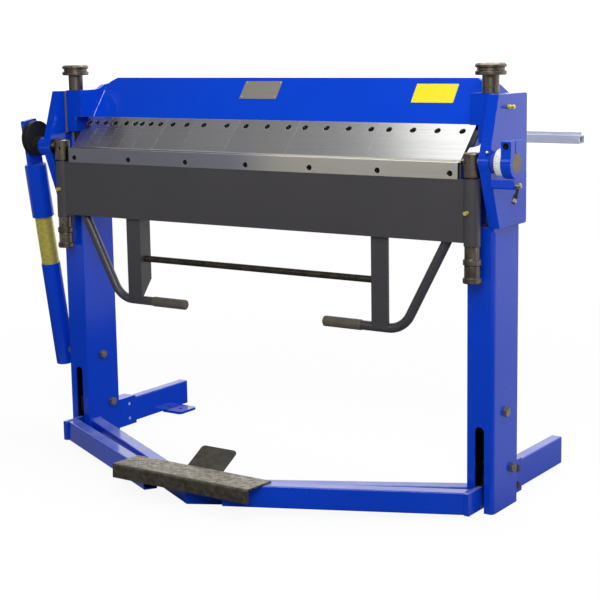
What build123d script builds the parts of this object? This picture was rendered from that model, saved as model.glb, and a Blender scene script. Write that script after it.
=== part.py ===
"""Foot-operated box and pan brake, as an assembly of separate named pieces.

Millimetres. X runs along the bend line to the right, Y runs from the operator
to the rear, Z is up and the machine's frame is symmetric about X = 0. The sizes
below put Y = 0 on the bend line and Z = 0 on the floor. Each piece is written as
its own STEP file, moved back by FRAME_Y so that the origin of the finished object
is the middle of the base frame's point, on the floor.
"""
import os
from math import atan2, cos, degrees, hypot, pi, radians, sin

from build123d import *

# Clearances
RUN = 0.3                       # gap between pieces that move on each other
FIT = 0.05                      # radial clearance of a running fit
SLACK = 0.5                     # side play of the beam between the side plates

# Fingers: the segments from left to right, with their screws and the pitch of these
FINGER_NAMES = ("25", "30", "35", "40", "45", "50", "75", "100", "150", "200", "250", "270")
FINGER_WIDTHS = (25.0, 30.0, 35.0, 40.0, 45.0, 50.0, 75.0, 100.0, 150.0, 200.0, 250.0, 270.0)
FINGER_SCREWS = (1, 1, 1, 1, 1, 2, 2, 2, 2, 3, 4, 4)
SCREW_PITCHES = (0.0, 0.0, 0.0, 0.0, 0.0, 25.0, 35.0, 50.0, 80.0, 70.0, 68.0, 70.0)
FINGER_SEAM = 0.3
HALF = sum(FINGER_WIDTHS) / 2   # half the bed length

# Heights that drive the rest
COL_HEIGHT = 721.0
AXIS_RISE = 163.0               # from the columns to the swing axis at the bend line
AXIS_Z = COL_HEIGHT + AXIS_RISE
NIP = 1.0                       # fingers above the swing axis when closed

# Columns
COL_IN = HALF + 2
COL_WIDTH, COL_DEPTH, COL_FRONT = 74.0, 133.0, 32.0
COL_OUT, COL_REAR = COL_IN + COL_WIDTH, COL_FRONT + COL_DEPTH
COL_WALL, COL_BEND, COL_FOLD, COL_TOP_T = 6.0, 10.0, 3.0, 10.0
WEB_LOW = 3.0
SEAT_T, SEAT_DROP = 8.0, 283.0  # spring seat, below the top of the column
SPRING_SEAT = COL_HEIGHT - SEAT_DROP

# Side plates
PLATE_T, PLATE_SET, PLATE_RISE, PLATE_LAP = 28.5, 62.0, 159.0, 13.0
PLATE_IN = HALF + PLATE_SET
PLATE_OUT = PLATE_IN + PLATE_T
PLATE_TOP, PLATE_REAR = AXIS_Z + PLATE_RISE, COL_REAR + PLATE_LAP
PLATE_EDGE = 1.2
TOP_Y, APEX_Y, APEX_RISE, NOSE_R = 23.0, -28.5, 0.7, 29.5   # V of the front edge, nose at the axis
GUIDE_T, GUIDE_LONG, GUIDE_LAP = 4.0, 61.0, 4.0   # guide strip inside each plate
BOSS_R, BOSS_LONG = 26.5, 21.0
SHAFT_R, SHAFT_LONG = 24.0, 60.5

# Pull rods, guide blocks and knobs
ROD_Y, ROD_R, ROD_SET = 74.4, 10.0, 33.0
ROD_X = COL_OUT - ROD_SET
BLOCK_FRONT, BLOCK_DEPTH = 46.0, 57.0
BLOCK_IN, BLOCK_OUT = HALF + 1.5, PLATE_IN - GUIDE_T - SLACK
NOTCH_IN, NOTCH_RISE = 23.0, 84.0    # clear of the end finger
BLOCK_REAR = BLOCK_FRONT + BLOCK_DEPTH
BLOCK_LIFT, BLOCK_HIGH = 41.0, 120.0
BLOCK_BOTTOM = AXIS_Z + BLOCK_LIFT
BLOCK_TOP = BLOCK_BOTTOM + BLOCK_HIGH
KNOB_R, KNOB_NECK_R = 38.5, 21.0
SPRING_R, WIRE_R = 17.0, 3.0
SPRING_TURNS, SPRING_PITCH = 8, 17.0

# Pivot heads and folding leaf
HEAD_SET, HEAD_Y = 27.5, -3.0   # vertical axis of the pivot heads, inside the plates
HEAD_X = PLATE_IN - HEAD_SET
HEAD_R, HEAD_DROP, HEAD_RISE = 22.0, 37.0, 21.0
SPINDLE_R = 12.0
FOLD_FRONT, FOLD_BACK = -15.0, -0.8
FOLD_HIGH, BLADE_HIGH, BLADE_T, BLADE_LIP = 153.5, 40.0, 7.7, 6.0
BLADE_TOP = AXIS_Z - 3
BLADE_BOTTOM = BLADE_TOP - BLADE_HIGH
BEAM_BOTTOM = BLADE_BOTTOM - FOLD_HIGH
TUBE_R = 21.0
TUBE_BOTTOM, TUBE_TOP = BEAM_BOTTOM - 7.5, BLADE_BOTTOM + 2
FLANGE_Y, FLANGE_T = 42.0, 12.0
NUT_HIGH, LOCK_HIGH = 47.0, 43.5

# Handles
HANDLE_Y, HANDLE_R, HANDLE_DROP, HANDLE_BEND = 7.0, 12.5, 234.5, 72.0
HANDLE_Z = BEAM_BOTTOM - HANDLE_DROP
HANDLE_X, CORNER_X, GRIP_X = HALF - 39, HALF - 165, HALF - 404
GRIP_LONG, GRIP_R, GRIP_CAP = 117.0, 14.0, 6.0
BR_IN, BR_WIDTH, BR_T = HALF - 252.5, 50.0, 6.0
CROSS_R = 9.0

# Balancer
CRANK_R, CRANK_T, CRANK_SET = 50.5, 21.0, 36.5
CRANK_IN = PLATE_OUT + CRANK_SET
CRANK_OUT = CRANK_IN + CRANK_T
CRANK_PIN = (-4.0, AXIS_Z + 27)
CRANK_MID = (-3.4, AXIS_Z + 22.8)    # the disc is off centre
STRUT_X = -(CRANK_OUT + 10)
STRUT_R, STRUT_INNER_R, STRUT_UPPER_R = 28.3, 26.0, 32.5
STRUT_STROKE = 50.0
BOLT_R, BOLT_ACROSS, BOLT_HEAD = 7.5, 22.0, 9.5

# Angle stop
SHAFT_END = PLATE_OUT + SHAFT_LONG
DRUM_R, DRUM_HUB_R, DRUM_END = 33.0, 26.0, 34.2
COLLAR_R, COLLAR_HALF, COLLAR_HIGH = 38.0, 34.0, 54.0
FOLD_LIMIT = radians(135)

# Pedal
ARM_SET, ARM_W = 32.0, 13.0
ARM_OUT = COL_OUT - ARM_SET
ARM_IN = ARM_OUT - ARM_W
SLOT_SIDE, SLOT_TOP = 6.5, 221.0
PEDAL_PIVOT = (COL_REAR - 31, 98.0)
ANCHOR = (COL_REAR - 68, 252.0)     # upper column bolt, lower end of the balancer
PEDAL_Z0, PEDAL_HIGH, PEDAL_WIDE, PEDAL_WALL = 10.5, 57.0, 39.0, 3.5
PEDAL_Z1 = PEDAL_Z0 + PEDAL_HIGH
PEDAL_SLOPE, PEDAL_FRONT, PEDAL_TIP_X = 0.53, -33.4, 129.5
PEDAL_TILT = 0.038              # rise of the tubes towards the treadle
TREAD_X, TREAD_DEPTH, TREAD_T, TREAD_LIP, TREAD_LAP = 221.0, 102.0, 5.0, 38.0, 17.0
TUBE_ROUND = 4.0                # outer corners of the square tubes

# Base frame and rear legs
BASE_SLOPE, BASE_Y, BASE_WIDE, BASE_HIGH, BASE_WALL = 0.536, 40.5, 39.0, 58.5, 4.0
BASE_RISE = BASE_WIDE * hypot(1, BASE_SLOPE)
FRAME_Y = round(BASE_SLOPE * COL_IN - BASE_Y - BASE_RISE / 2)   # origin to bend line
LEG_W, LEG_H, LEG_Z0, LEG_LONG, LEG_WALL = 32.0, 76.0, 8.0, 346.0, 4.0
LEG_IN = COL_IN + 10.5
LEG_OUT, LEG_Z1, LEG_END = LEG_IN + LEG_W, LEG_Z0 + LEG_H, COL_REAR + LEG_LONG
SOCKET_LONG, SOCKET_T, SOCKET_ROUND = 85.0, 5.0, 8.0
FOOT_X, FOOT_Y, FOOT_R, FOOT_ROUND = LEG_IN - 25.5, LEG_END - 69, 7.0, 12.0
FOOT_IN, FOOT_START, FOOT_LONG = LEG_IN - 57.5, LEG_END - 108, 84.0

# Lower beam and back gauge
LOWER_END, LOWER_FRONT, LOWER_REAR, LOWER_WALL = HALF + 5, 1.0, 120.0, 12.0
BED_T, BED_FRONT, BED_REAR, LOWER_HIGH = 12.0, 0.6, 110.0, 130.0
LOWER_TOP = AXIS_Z - BED_T
LOWER_BOTTOM = LOWER_TOP - LOWER_HIGH
FOOT_FRONT, FOOT_REAR = 97.0, 152.0
RAIL_X, RAIL_W, RAIL_H, RAIL_DROP, RAIL_WALL = 430.0, 30.0, 24.0, 46.0, 3.0
RAIL_Z0 = AXIS_Z - RAIL_DROP
RAIL_Z1 = RAIL_Z0 + RAIL_H
GAUGE_Y, GAUGE_DEPTH, GAUGE_H, GAUGE_WALL, GAUGE_DROP = 695.0, 33.0, 23.5, 3.0, 5.0
GAUGE_Z = AXIS_Z - GAUGE_DROP


def prism_x(points, x0, x1):
    """A YZ outline pushed along X."""
    face = Plane.YZ.offset(x0) * Polygon(*points, align=None)
    return extrude(face, x1 - x0, dir=(1, 0, 0))


def prism_z(points, z0, z1):
    """An XY outline pushed up Z."""
    face = Plane.XY.offset(z0) * Polygon(*points, align=None)
    return extrude(face, z1 - z0, dir=(0, 0, 1))


def box(x0, x1, y0, y1, z0, z1):
    """A block between two corners."""
    size = Box(x1 - x0, y1 - y0, z1 - z0)
    return Pos((x0 + x1) / 2, (y0 + y1) / 2, (z0 + z1) / 2) * size


def rod(start, end, radius):
    """A round bar between two points."""
    a, b = Vector(*start), Vector(*end)
    plane = Plane(origin=a, z_dir=b - a)
    return extrude(plane * Circle(radius), (b - a).length)


def turned(x, y, profile):
    """A profile of (radius, z) pairs turned about the vertical through (x, y)."""
    face = Plane.XZ * Polygon(*profile, align=None)
    return Pos(x, y, 0) * revolve(face, Axis.Z)


def turned_x(y, z, profile):
    """A profile of (x, radius) pairs turned about the line along X through (y, z)."""
    face = Plane.XY * Polygon(*profile, align=None)
    return Pos(0, y, z) * revolve(face, Axis.X)


def above_axis(points):
    """A YZ outline given by its heights over the swing axis."""
    return [(y, AXIS_Z + rise) for y, rise in points]


def flip(shape):
    """The same piece on the other side of the machine."""
    return mirror(shape, Plane.YZ)


def group(*pieces):
    """Separate solids kept together as one node."""
    solids = []
    for piece in pieces:
        solids.extend(piece.solids())
    return Compound(solids)


os.makedirs("parts", exist_ok=True)


def save(name, shape):
    """Write one node."""
    solids = shape.solids()
    moved = [Pos(0, FRAME_Y, 0) * solid for solid in solids]
    out = moved[0] if len(moved) == 1 else Compound(moved)
    export_step(out, f"parts/{name}.step")


# Side plates: thick plates with a pointed front, rounded about the swing axis
plate_outline = [
    (TOP_Y, PLATE_TOP), (PLATE_REAR, PLATE_TOP), (PLATE_REAR, COL_HEIGHT), (COL_FRONT - 2, COL_HEIGHT),
    (APEX_Y, AXIS_Z + APEX_RISE),
]
side_plate = prism_x(plate_outline, PLATE_IN, PLATE_OUT)
side_plate += rod((PLATE_IN, 0, AXIS_Z), (PLATE_OUT, 0, AXIS_Z), NOSE_R)
rear_edges = side_plate.edges().filter_by(Axis.X).group_by(Axis.Y)[-1]
side_plate = fillet(rear_edges, 6)
side_plate = chamfer(side_plate.faces().sort_by(Axis.X)[-1].edges(), PLATE_EDGE)
edge_up = Vector(0, TOP_Y - APEX_Y, PLATE_RISE - APEX_RISE).normalized()
edge_out = Vector(0, -edge_up.Z, edge_up.Y)
apex = Vector(0, APEX_Y, AXIS_Z + APEX_RISE)
GUIDE_FRONT = BLOCK_FRONT - 2
guide_strip = box(PLATE_IN - GUIDE_T, PLATE_IN, GUIDE_FRONT, GUIDE_FRONT + GUIDE_LONG,
                  BLOCK_BOTTOM - GUIDE_LAP, PLATE_TOP)
side_plate += guide_strip
NIPPLE = (73.0, PLATE_TOP - 31)
NIPPLE_R, NIPPLE_DEEP = 3.0, 8.0
side_plate -= rod((PLATE_OUT - NIPPLE_DEEP, *NIPPLE), (PLATE_OUT + 1, *NIPPLE), NIPPLE_R)
swing_bore = rod((PLATE_IN - 1, 0, AXIS_Z), (PLATE_OUT + BOSS_LONG + 1, 0, AXIS_Z), SHAFT_R + FIT)
INDEX_SET, INDEX_UP, INDEX_DEEP, INDEX_R = 23.5, 22.4, 4.5, 2.2
INDEX = Vector(PLATE_IN + INDEX_SET, apex.Y, apex.Z) + edge_up * INDEX_UP
STOP_SCREWS = ((-1.5, AXIS_Z - 53.5), (6.0, AXIS_Z - 58.5))
STOP_SCREW_R, STOP_SCREW_DEEP = 3.0, 15.0
right_plate = side_plate - swing_bore
right_plate -= rod(INDEX - edge_out * INDEX_DEEP, INDEX + edge_out, INDEX_R)
for screw in STOP_SCREWS:
    right_plate -= rod((PLATE_OUT - STOP_SCREW_DEEP, *screw), (PLATE_OUT + 1, *screw), STOP_SCREW_R)
save("side_plate_right", right_plate)
boss = rod((PLATE_OUT - 2, 0, AXIS_Z), (PLATE_OUT + BOSS_LONG, 0, AXIS_Z), BOSS_R)
boss = chamfer(boss.edges().sort_by(Axis.X)[-1], 1.5)
left_plate = side_plate + boss - swing_bore
save("side_plate_left", flip(left_plate))

nipple = rod((PLATE_OUT - NIPPLE_DEEP, *NIPPLE), (PLATE_OUT, *NIPPLE), NIPPLE_R)
nipple += turned_x(*NIPPLE, [
    (PLATE_OUT, 0), (PLATE_OUT, 5.5), (PLATE_OUT + 7, 5.5), (PLATE_OUT + 8, 3.5),
    (PLATE_OUT + 11, 3.5), (PLATE_OUT + 12.5, 5.5), (PLATE_OUT + 16, 5.5),
    (PLATE_OUT + 18, 3.5), (PLATE_OUT + 18, 0),
])
save("plate_grease_nipples", group(nipple, flip(nipple)))

# Columns: folded channels closed by a rear wall, with a top plate and a leg socket
column = box(COL_IN, COL_OUT, COL_FRONT, COL_REAR, 0, COL_HEIGHT - COL_TOP_T)
outer_corner = column.edges().filter_by(Axis.Z).group_by(Axis.Y)[0]
column = fillet(outer_corner.sort_by(Axis.X)[-1], COL_BEND)
inner_corner = column.edges().filter_by(Axis.Z).sort_by(lambda e: e.center().X + e.center().Y)[0]
column = fillet(inner_corner, COL_FOLD)
hollow = box(COL_IN + COL_WALL, COL_OUT - COL_WALL, COL_FRONT + COL_WALL, COL_REAR + 1,
             -1, COL_HEIGHT - COL_TOP_T + 1)
hollow_corner = hollow.edges().filter_by(Axis.Z).group_by(Axis.Y)[0].sort_by(Axis.X)[-1]
hollow = fillet(hollow_corner, COL_BEND - COL_WALL)
column -= hollow
column += box(COL_IN, COL_OUT, COL_FRONT, COL_REAR, COL_HEIGHT - COL_TOP_T, COL_HEIGHT)
slot_x, slot_r = (ARM_IN + ARM_OUT) / 2, ARM_W / 2 + SLOT_SIDE
column -= box(slot_x - slot_r, slot_x + slot_r, COL_FRONT - 1, COL_FRONT + COL_WALL + 1,
              -1, SLOT_TOP - slot_r)
column -= rod((slot_x, COL_FRONT - 1, SLOT_TOP - slot_r),
              (slot_x, COL_FRONT + COL_WALL + 1, SLOT_TOP - slot_r), slot_r)
column -= rod((ROD_X, ROD_Y, COL_HEIGHT - COL_TOP_T - 2), (ROD_X, ROD_Y, COL_HEIGHT + 2), ROD_R + 4)
column += box(COL_IN + COL_WALL, COL_OUT - COL_WALL, COL_REAR - COL_WALL, COL_REAR,
              WEB_LOW, COL_HEIGHT - COL_TOP_T)
seat = box(COL_IN + COL_WALL, COL_OUT - COL_WALL, COL_FRONT + COL_WALL + 10, ROD_Y + 26,
           SPRING_SEAT - SEAT_T, SPRING_SEAT)
seat -= rod((ROD_X, ROD_Y, SPRING_SEAT - SEAT_T - 1), (ROD_X, ROD_Y, SPRING_SEAT + 1), ROD_R + 1)
column += seat
SOCKET_END = COL_REAR + SOCKET_LONG
socket = box(LEG_IN - SOCKET_T, LEG_OUT + SOCKET_T, COL_REAR, SOCKET_END,
             LEG_Z0 - SOCKET_T, LEG_Z1 + 8)
socket = fillet(socket.edges().filter_by(Axis.X).group_by(Axis.Y)[-1].sort_by(Axis.Z)[-1], SOCKET_ROUND)
socket -= box(LEG_IN, LEG_OUT, COL_REAR + SOCKET_T, SOCKET_END + 1, LEG_Z0, LEG_Z1)
column += socket
LEG_BOLT_Y, LEG_BOLTS_Z = COL_REAR + 54, (LEG_Z0 + 16, LEG_Z1 - 14)
LEG_BOLT_R = 5.0
for z in LEG_BOLTS_Z:
    column -= rod((LEG_IN - 8, LEG_BOLT_Y, z), (LEG_OUT + 8, LEG_BOLT_Y, z), LEG_BOLT_R)
for y, z in (PEDAL_PIVOT, ANCHOR):
    column -= rod((COL_IN - 1, y, z), (COL_OUT + 1, y, z), BOLT_R)
save("column_right", column)
save("column_left", flip(column))

# Rear legs with a foot plate at the inner side
leg = box(LEG_IN, LEG_OUT, COL_REAR + SOCKET_T, LEG_END, LEG_Z0, LEG_Z1)
leg = fillet(leg.edges().filter_by(Axis.Y), TUBE_ROUND)
leg -= box(LEG_IN + LEG_WALL, LEG_OUT - LEG_WALL, COL_REAR + SOCKET_T - 1, LEG_END - LEG_WALL,
           LEG_Z0 + LEG_WALL, LEG_Z1 - LEG_WALL)
foot_plate = box(FOOT_IN, LEG_IN + LEG_W / 2, FOOT_START, FOOT_START + FOOT_LONG, 0, LEG_Z0)
foot_corners = foot_plate.edges().filter_by(Axis.Z).group_by(Axis.X)[0]
leg += fillet(foot_corners, FOOT_ROUND)
leg -= rod((FOOT_X, FOOT_Y, -1), (FOOT_X, FOOT_Y, LEG_Z0 + 1), FOOT_R)
for z in LEG_BOLTS_Z:
    leg -= rod((LEG_IN - 8, LEG_BOLT_Y, z), (LEG_OUT + 8, LEG_BOLT_Y, z), LEG_BOLT_R)
save("rear_legs", group(leg, flip(leg)))


def hex_bolt(x_head, x_end, y, z, radius, across, head):
    """A bolt along X with a hexagon head at x_head and a nut at x_end."""
    sign = 1 if x_end > x_head else -1
    shank = rod((x_head, y, z), (x_end, y, z), radius)
    plane = Plane(origin=(x_head, y, z), z_dir=(-sign, 0, 0))
    shank += extrude(plane * RegularPolygon(across / 2, 6, major_radius=False), head)
    plane = Plane(origin=(x_end, y, z), z_dir=(sign, 0, 0))
    shank += extrude(plane * RegularPolygon(across / 2, 6, major_radius=False), head * 0.9)
    return shank


leg_bolts = []
for z in LEG_BOLTS_Z:
    bolt = rod((LEG_IN - SOCKET_T, LEG_BOLT_Y, z), (LEG_OUT + SOCKET_T, LEG_BOLT_Y, z), LEG_BOLT_R)
    head_plane = Plane(origin=(LEG_OUT + SOCKET_T, LEG_BOLT_Y, z), z_dir=(1, 0, 0))
    bolt += extrude(head_plane * RegularPolygon(8.5, 6, major_radius=False), 7)
    leg_bolts += [bolt, flip(bolt)]
save("leg_bolts", group(*leg_bolts))

pivot_bolt = hex_bolt(COL_IN, COL_OUT, *PEDAL_PIVOT, BOLT_R, BOLT_ACROSS, BOLT_HEAD)
anchor_bolt = hex_bolt(COL_IN, COL_OUT, *ANCHOR, BOLT_R, BOLT_ACROSS, BOLT_HEAD)
save("column_bolts", group(pivot_bolt, flip(pivot_bolt), anchor_bolt))

# Base frame: a tube chevron on the floor between the columns
def chevron(x_end, y_end, slope, rise, z0, z1, wall):
    """A closed V of tube, its point towards the operator."""
    inset = wall * hypot(1, slope)
    tip = y_end - slope * x_end
    outer = [(-x_end, y_end), (0, tip), (x_end, y_end),
             (x_end, y_end + rise), (0, tip + rise), (-x_end, y_end + rise)]
    x_in = x_end - wall
    front, back = tip + inset, tip + rise - inset
    inner = [(-x_in, front + slope * x_in), (0, front), (x_in, front + slope * x_in),
             (x_in, back + slope * x_in), (0, back), (-x_in, back + slope * x_in)]
    tube = prism_z(outer, z0, z1)
    long_edges = [e for e in tube.edges()
                  if abs(e.center().X) < x_end - 1 and abs((e % 0.5).Z) < 0.5]
    return fillet(long_edges, TUBE_ROUND) - prism_z(inner, z0 + wall, z1 - wall)


base = chevron(COL_IN, BASE_Y, BASE_SLOPE, BASE_RISE, 0, BASE_HIGH, BASE_WALL)
HINGE = (43 - FRAME_Y, BASE_HIGH + 8.5)
HINGE_R, LUG_X, LUG_T = 3.0, 26.0, 8.0
for x in (-LUG_X - LUG_T, LUG_X):
    base += box(x, x + LUG_T, HINGE[0] - 9, HINGE[0] + 6, BASE_HIGH - 8, HINGE[1] + 5)
base -= rod((-LUG_X - LUG_T - 6, *HINGE), (LUG_X + LUG_T + 6, *HINGE), HINGE_R)
base_clean = base.solids().sort_by(SortBy.VOLUME)[-1]
save("base_frame", base_clean)

PIN_HALF = LUG_X + LUG_T + 4
save("release_pin", rod((-PIN_HALF, *HINGE), (PIN_HALF, *HINGE), HINGE_R))

# Lower beam and the hardened bed bar on it
lower = box(-LOWER_END, LOWER_END, LOWER_FRONT, LOWER_REAR, LOWER_BOTTOM, LOWER_TOP)
lower -= box(-LOWER_END + 8, LOWER_END - 8, LOWER_FRONT + LOWER_WALL, LOWER_REAR - LOWER_WALL,
             LOWER_BOTTOM + LOWER_WALL, LOWER_TOP - LOWER_WALL)
for x0, x1 in ((-PLATE_IN, -LOWER_END), (LOWER_END, PLATE_IN)):
    lower += box(x0, x1, FOOT_FRONT, FOOT_REAR, COL_HEIGHT, LOWER_TOP)
lower += box(-LOWER_END, LOWER_END, LOWER_REAR, FOOT_REAR, LOWER_BOTTOM, LOWER_BOTTOM + 18)
save("lower_beam", lower)
bed = box(-HALF, HALF, BED_FRONT, BED_REAR, LOWER_TOP, AXIS_Z)
bed = chamfer(bed.edges().filter_by(Axis.X).group_by(Axis.Z)[-1].sort_by(Axis.Y)[-1], 3)
save("bed_bar", bed)

# Back gauge on two rails behind the lower beam
RAIL_END = GAUGE_Y + GAUGE_DEPTH + 14
RAIL_FOOT = 8.0


def gauge_rail(x):
    """One guide rail with its flange on the rear of the lower beam."""
    half = RAIL_W / 2
    rail = box(x - half, x + half, LOWER_REAR, RAIL_END, RAIL_Z0, RAIL_Z1)
    rail -= box(x - half + RAIL_WALL, x + half - RAIL_WALL, LOWER_REAR + RAIL_FOOT, RAIL_END + 1,
                RAIL_Z0 + RAIL_WALL, RAIL_Z1 - RAIL_WALL)
    rail += box(x - half - 20, x + half + 20, LOWER_REAR, LOWER_REAR + RAIL_FOOT,
                RAIL_Z0 - 14, RAIL_Z1 + 8)
    return rail


save("gauge_rails", group(gauge_rail(RAIL_X), gauge_rail(-RAIL_X)))


def gauge_carrier(x):
    """A slider round one rail, carrying the gauge bar, with its clamp screw below."""
    half = RAIL_W / 2
    front, rear = GAUGE_Y - 6, GAUGE_Y + GAUGE_DEPTH + 6
    carrier = box(x - half - 9, x + half + 9, front, rear, RAIL_Z0 - 10, GAUGE_Z)
    carrier -= box(x - half - RUN, x + half + RUN, front - 1, rear + 1, RAIL_Z0 - RUN, RAIL_Z1 + RUN)
    y = GAUGE_Y + GAUGE_DEPTH / 2
    carrier += rod((x, y, RAIL_Z0 - 34), (x, y, RAIL_Z0 - 9), 5)
    carrier += rod((x, y, RAIL_Z0 - 46), (x, y, RAIL_Z0 - 34), 17)
    return carrier


save("gauge_carriers", group(gauge_carrier(RAIL_X), gauge_carrier(-RAIL_X)))
GAUGE_END, GAUGE_TOP, GAUGE_REAR = HALF + 5, GAUGE_Z + GAUGE_H, GAUGE_Y + GAUGE_DEPTH
gauge = box(-GAUGE_END, GAUGE_END, GAUGE_Y, GAUGE_REAR, GAUGE_Z, GAUGE_TOP)
gauge -= box(-GAUGE_END - 1, GAUGE_END + 1, GAUGE_Y + GAUGE_WALL, GAUGE_REAR - GAUGE_WALL,
             GAUGE_Z + GAUGE_WALL, GAUGE_TOP - GAUGE_WALL)
gauge += box(-GAUGE_END, GAUGE_END, GAUGE_Y + 11, GAUGE_Y + 11 + GAUGE_WALL, GAUGE_TOP, GAUGE_TOP + 9)
save("gauge_bar", gauge)

# Upper beam: a box of inclined plates with end plates and guide blocks
FINGER_NOSE = (2.5, AXIS_Z + NIP)
FINGER_TOP = (84.5, AXIS_Z + 83)
SEAT = (102.5, AXIS_Z + 65)
HEEL = (66.0, AXIS_Z + 28.5)
RIDGE = (166.0, AXIS_Z + 194.5)
BEAM_END, END_T = BLOCK_IN, 14.5
BEAM_ROUND = 5.0
beam_outline = [FINGER_TOP, RIDGE, (RIDGE[0] + 8, RIDGE[1])]
beam_outline += above_axis([(247, 153), (242, 140), (98, 31)])
beam_outline += [HEEL, SEAT]
beam_hollow = above_axis([(113, 76), (108, 85), (170, 168), (172, 176), (222, 149), (120, 64)])
upper = prism_x(beam_outline, -BEAM_END, BEAM_END)
ridge_edges = upper.edges().filter_by(Axis.X).group_by(Axis.Z)[-1]
upper = fillet(ridge_edges, BEAM_ROUND / 2)
rear_edges = upper.edges().filter_by(Axis.X).group_by(Axis.Y)[-1]
upper = fillet(rear_edges, BEAM_ROUND)
upper -= prism_x(beam_hollow, -BEAM_END + 10, BEAM_END - 10)
for side in (-1, 1):
    cut = [(side * (BEAM_END + 1), RIDGE[1] + 5), (side * (BEAM_END - 43), RIDGE[1] + 5),
           (side * (BEAM_END - 43), RIDGE[1] + 1), (side * (BEAM_END - 22), RIDGE[1] - 10),
           (side * (BEAM_END - 13), RIDGE[1] - 18), (side * (BEAM_END + 1), RIDGE[1] - 20)]
    face = Plane.XZ * Polygon(*cut, align=None)
    upper -= extrude(face, 300, dir=(0, 1, 0))
END_FRONT = FINGER_TOP[0] + 3.5
end_outline = [(END_FRONT, FINGER_TOP[1] + 3), (END_FRONT, BLOCK_TOP), (BLOCK_REAR + 5, BLOCK_TOP)]
end_outline += above_axis([(134, 165), (152, 174), (180, 178), (242, 150), (242, 140)])
end_outline += [(SEAT[0] + 6, SEAT[1] + 2)]
finger_outline = [
    FINGER_NOSE, (FINGER_NOSE[0] + 5.5, FINGER_NOSE[1]), (50, HEEL[1]), HEEL, SEAT, FINGER_TOP,
]
end = prism_x(end_outline, BLOCK_IN, BLOCK_IN + END_T)
block = box(BLOCK_IN, BLOCK_OUT, BLOCK_FRONT, BLOCK_REAR, BLOCK_BOTTOM, BLOCK_TOP)
block_edges = block.edges().filter_by(Axis.Z).group_by(Axis.Y)[0].sort_by(Axis.X)[-1]
block = chamfer(block_edges, 2)
end += block
end -= box(BLOCK_IN - 1, BLOCK_IN + NOTCH_IN, BLOCK_FRONT - 1, BLOCK_REAR + 1,
           BLOCK_BOTTOM - 1, AXIS_Z + NOTCH_RISE)
end -= rod((ROD_X, ROD_Y, BLOCK_BOTTOM - 1), (ROD_X, ROD_Y, BLOCK_TOP + 1), ROD_R)
upper += end
upper += flip(end)

# Fingers and their screws
face_dir = Vector(0, FINGER_TOP[0] - FINGER_NOSE[0], FINGER_TOP[1] - FINGER_NOSE[1]).normalized()
face_in = Vector(0, face_dir.Z, -face_dir.Y)
HOLE_UP = 93.0
SCREW_R, SCREW_HEAD_R, SCREW_LONG, SCREW_PLAY = 5.0, 8.0, 21.0, 0.5
HEAD_SUNK, HEAD_DEEP = 4.0, 14.0


def on_face(x):
    """The plane of a screw in the fingers, looking into the face."""
    spot = Vector(x, *FINGER_NOSE) + face_dir * HOLE_UP
    return Plane(origin=spot, x_dir=(1, 0, 0), z_dir=face_in)


screws = []
left = -HALF
for name, width, count, pitch in zip(FINGER_NAMES, FINGER_WIDTHS, FINGER_SCREWS, SCREW_PITCHES):
    finger = prism_x(finger_outline, left + FINGER_SEAM / 2, left + width - FINGER_SEAM / 2)
    for i in range(count):
        plane = on_face(left + width / 2 + (i - (count - 1) / 2) * pitch)
        finger -= extrude(plane.offset(-1) * Circle(SCREW_HEAD_R + SCREW_PLAY), HEAD_DEEP + 1)
        finger -= extrude(plane * Circle(SCREW_R + SCREW_PLAY), 40)
        screw = extrude(plane.offset(HEAD_SUNK) * Circle(SCREW_HEAD_R), HEAD_DEEP - HEAD_SUNK)
        screw += extrude(plane.offset(HEAD_DEEP) * Circle(SCREW_R), SCREW_LONG)
        socket_face = RegularPolygon(SCREW_HEAD_R / 2, 6, major_radius=False)
        screw -= extrude(plane.offset(HEAD_SUNK) * socket_face, 5)
        upper -= extrude(plane.offset(HEAD_DEEP) * Circle(SCREW_R), SCREW_LONG)
        screws.append(screw)
    save(f"finger_{name}", finger)
    left += width
save("finger_screws", group(*screws))

# Blank plates on the beam front
front_dir = Vector(0, RIDGE[0] - FINGER_TOP[0], RIDGE[1] - FINGER_TOP[1]).normalized()


def on_front(x, z):
    """A plane on the inclined front of the upper beam."""
    y = FINGER_TOP[0] + (z - FINGER_TOP[1]) * front_dir.Y / front_dir.Z
    return Plane(origin=(x, y, z), x_dir=(1, 0, 0), z_dir=(0, -front_dir.Z, front_dir.Y))


NAME_X, LABEL_X = -56.0, HALF - 146
plate_a = extrude(on_front(NAME_X, AXIS_Z + 161) * RectangleRounded(123, 58, 3), 1.2)
plate_b = extrude(on_front(LABEL_X, AXIS_Z + 156) * RectangleRounded(121, 57, 2), 0.6)
save("blank_plates", group(plate_a, plate_b))
save("upper_beam", upper)

# Clamping rods through the columns, with a slotted eye for the pedal pin
PIN = (ROD_Y, PEDAL_PIVOT[1])
PIN_R = 8.0
EYE_T, EYE_GAP = 10.0, 1.5
EYE_IN = ARM_OUT + EYE_GAP
EYE_OUT = EYE_IN + EYE_T
EYE_END = PEDAL_PIVOT[0] - BOLT_R - 4.1
SLOT_Z, SLOT_R, SLOT_END = PIN[1] + 1.65, PIN_R + 1.95, EYE_END - 22
pull_rod = rod((ROD_X, ROD_Y, PIN[1] + 42), (ROD_X, ROD_Y, BLOCK_TOP + 55), ROD_R)
eye = box(EYE_IN, EYE_OUT, ROD_Y - 20, EYE_END, PIN[1] - 20, PIN[1] + 26)
eye += box(EYE_IN, EYE_OUT, ROD_Y - 12, ROD_Y + 12, PIN[1] + 26, PIN[1] + 117)
eye = fillet(eye.edges().filter_by(Axis.X), 3)
slot = box(EYE_IN - 1, EYE_OUT + 1, PIN[0], SLOT_END, SLOT_Z - SLOT_R, SLOT_Z + SLOT_R)
slot += rod((EYE_IN - 1, PIN[0], SLOT_Z), (EYE_OUT + 1, PIN[0], SLOT_Z), SLOT_R)
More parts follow.
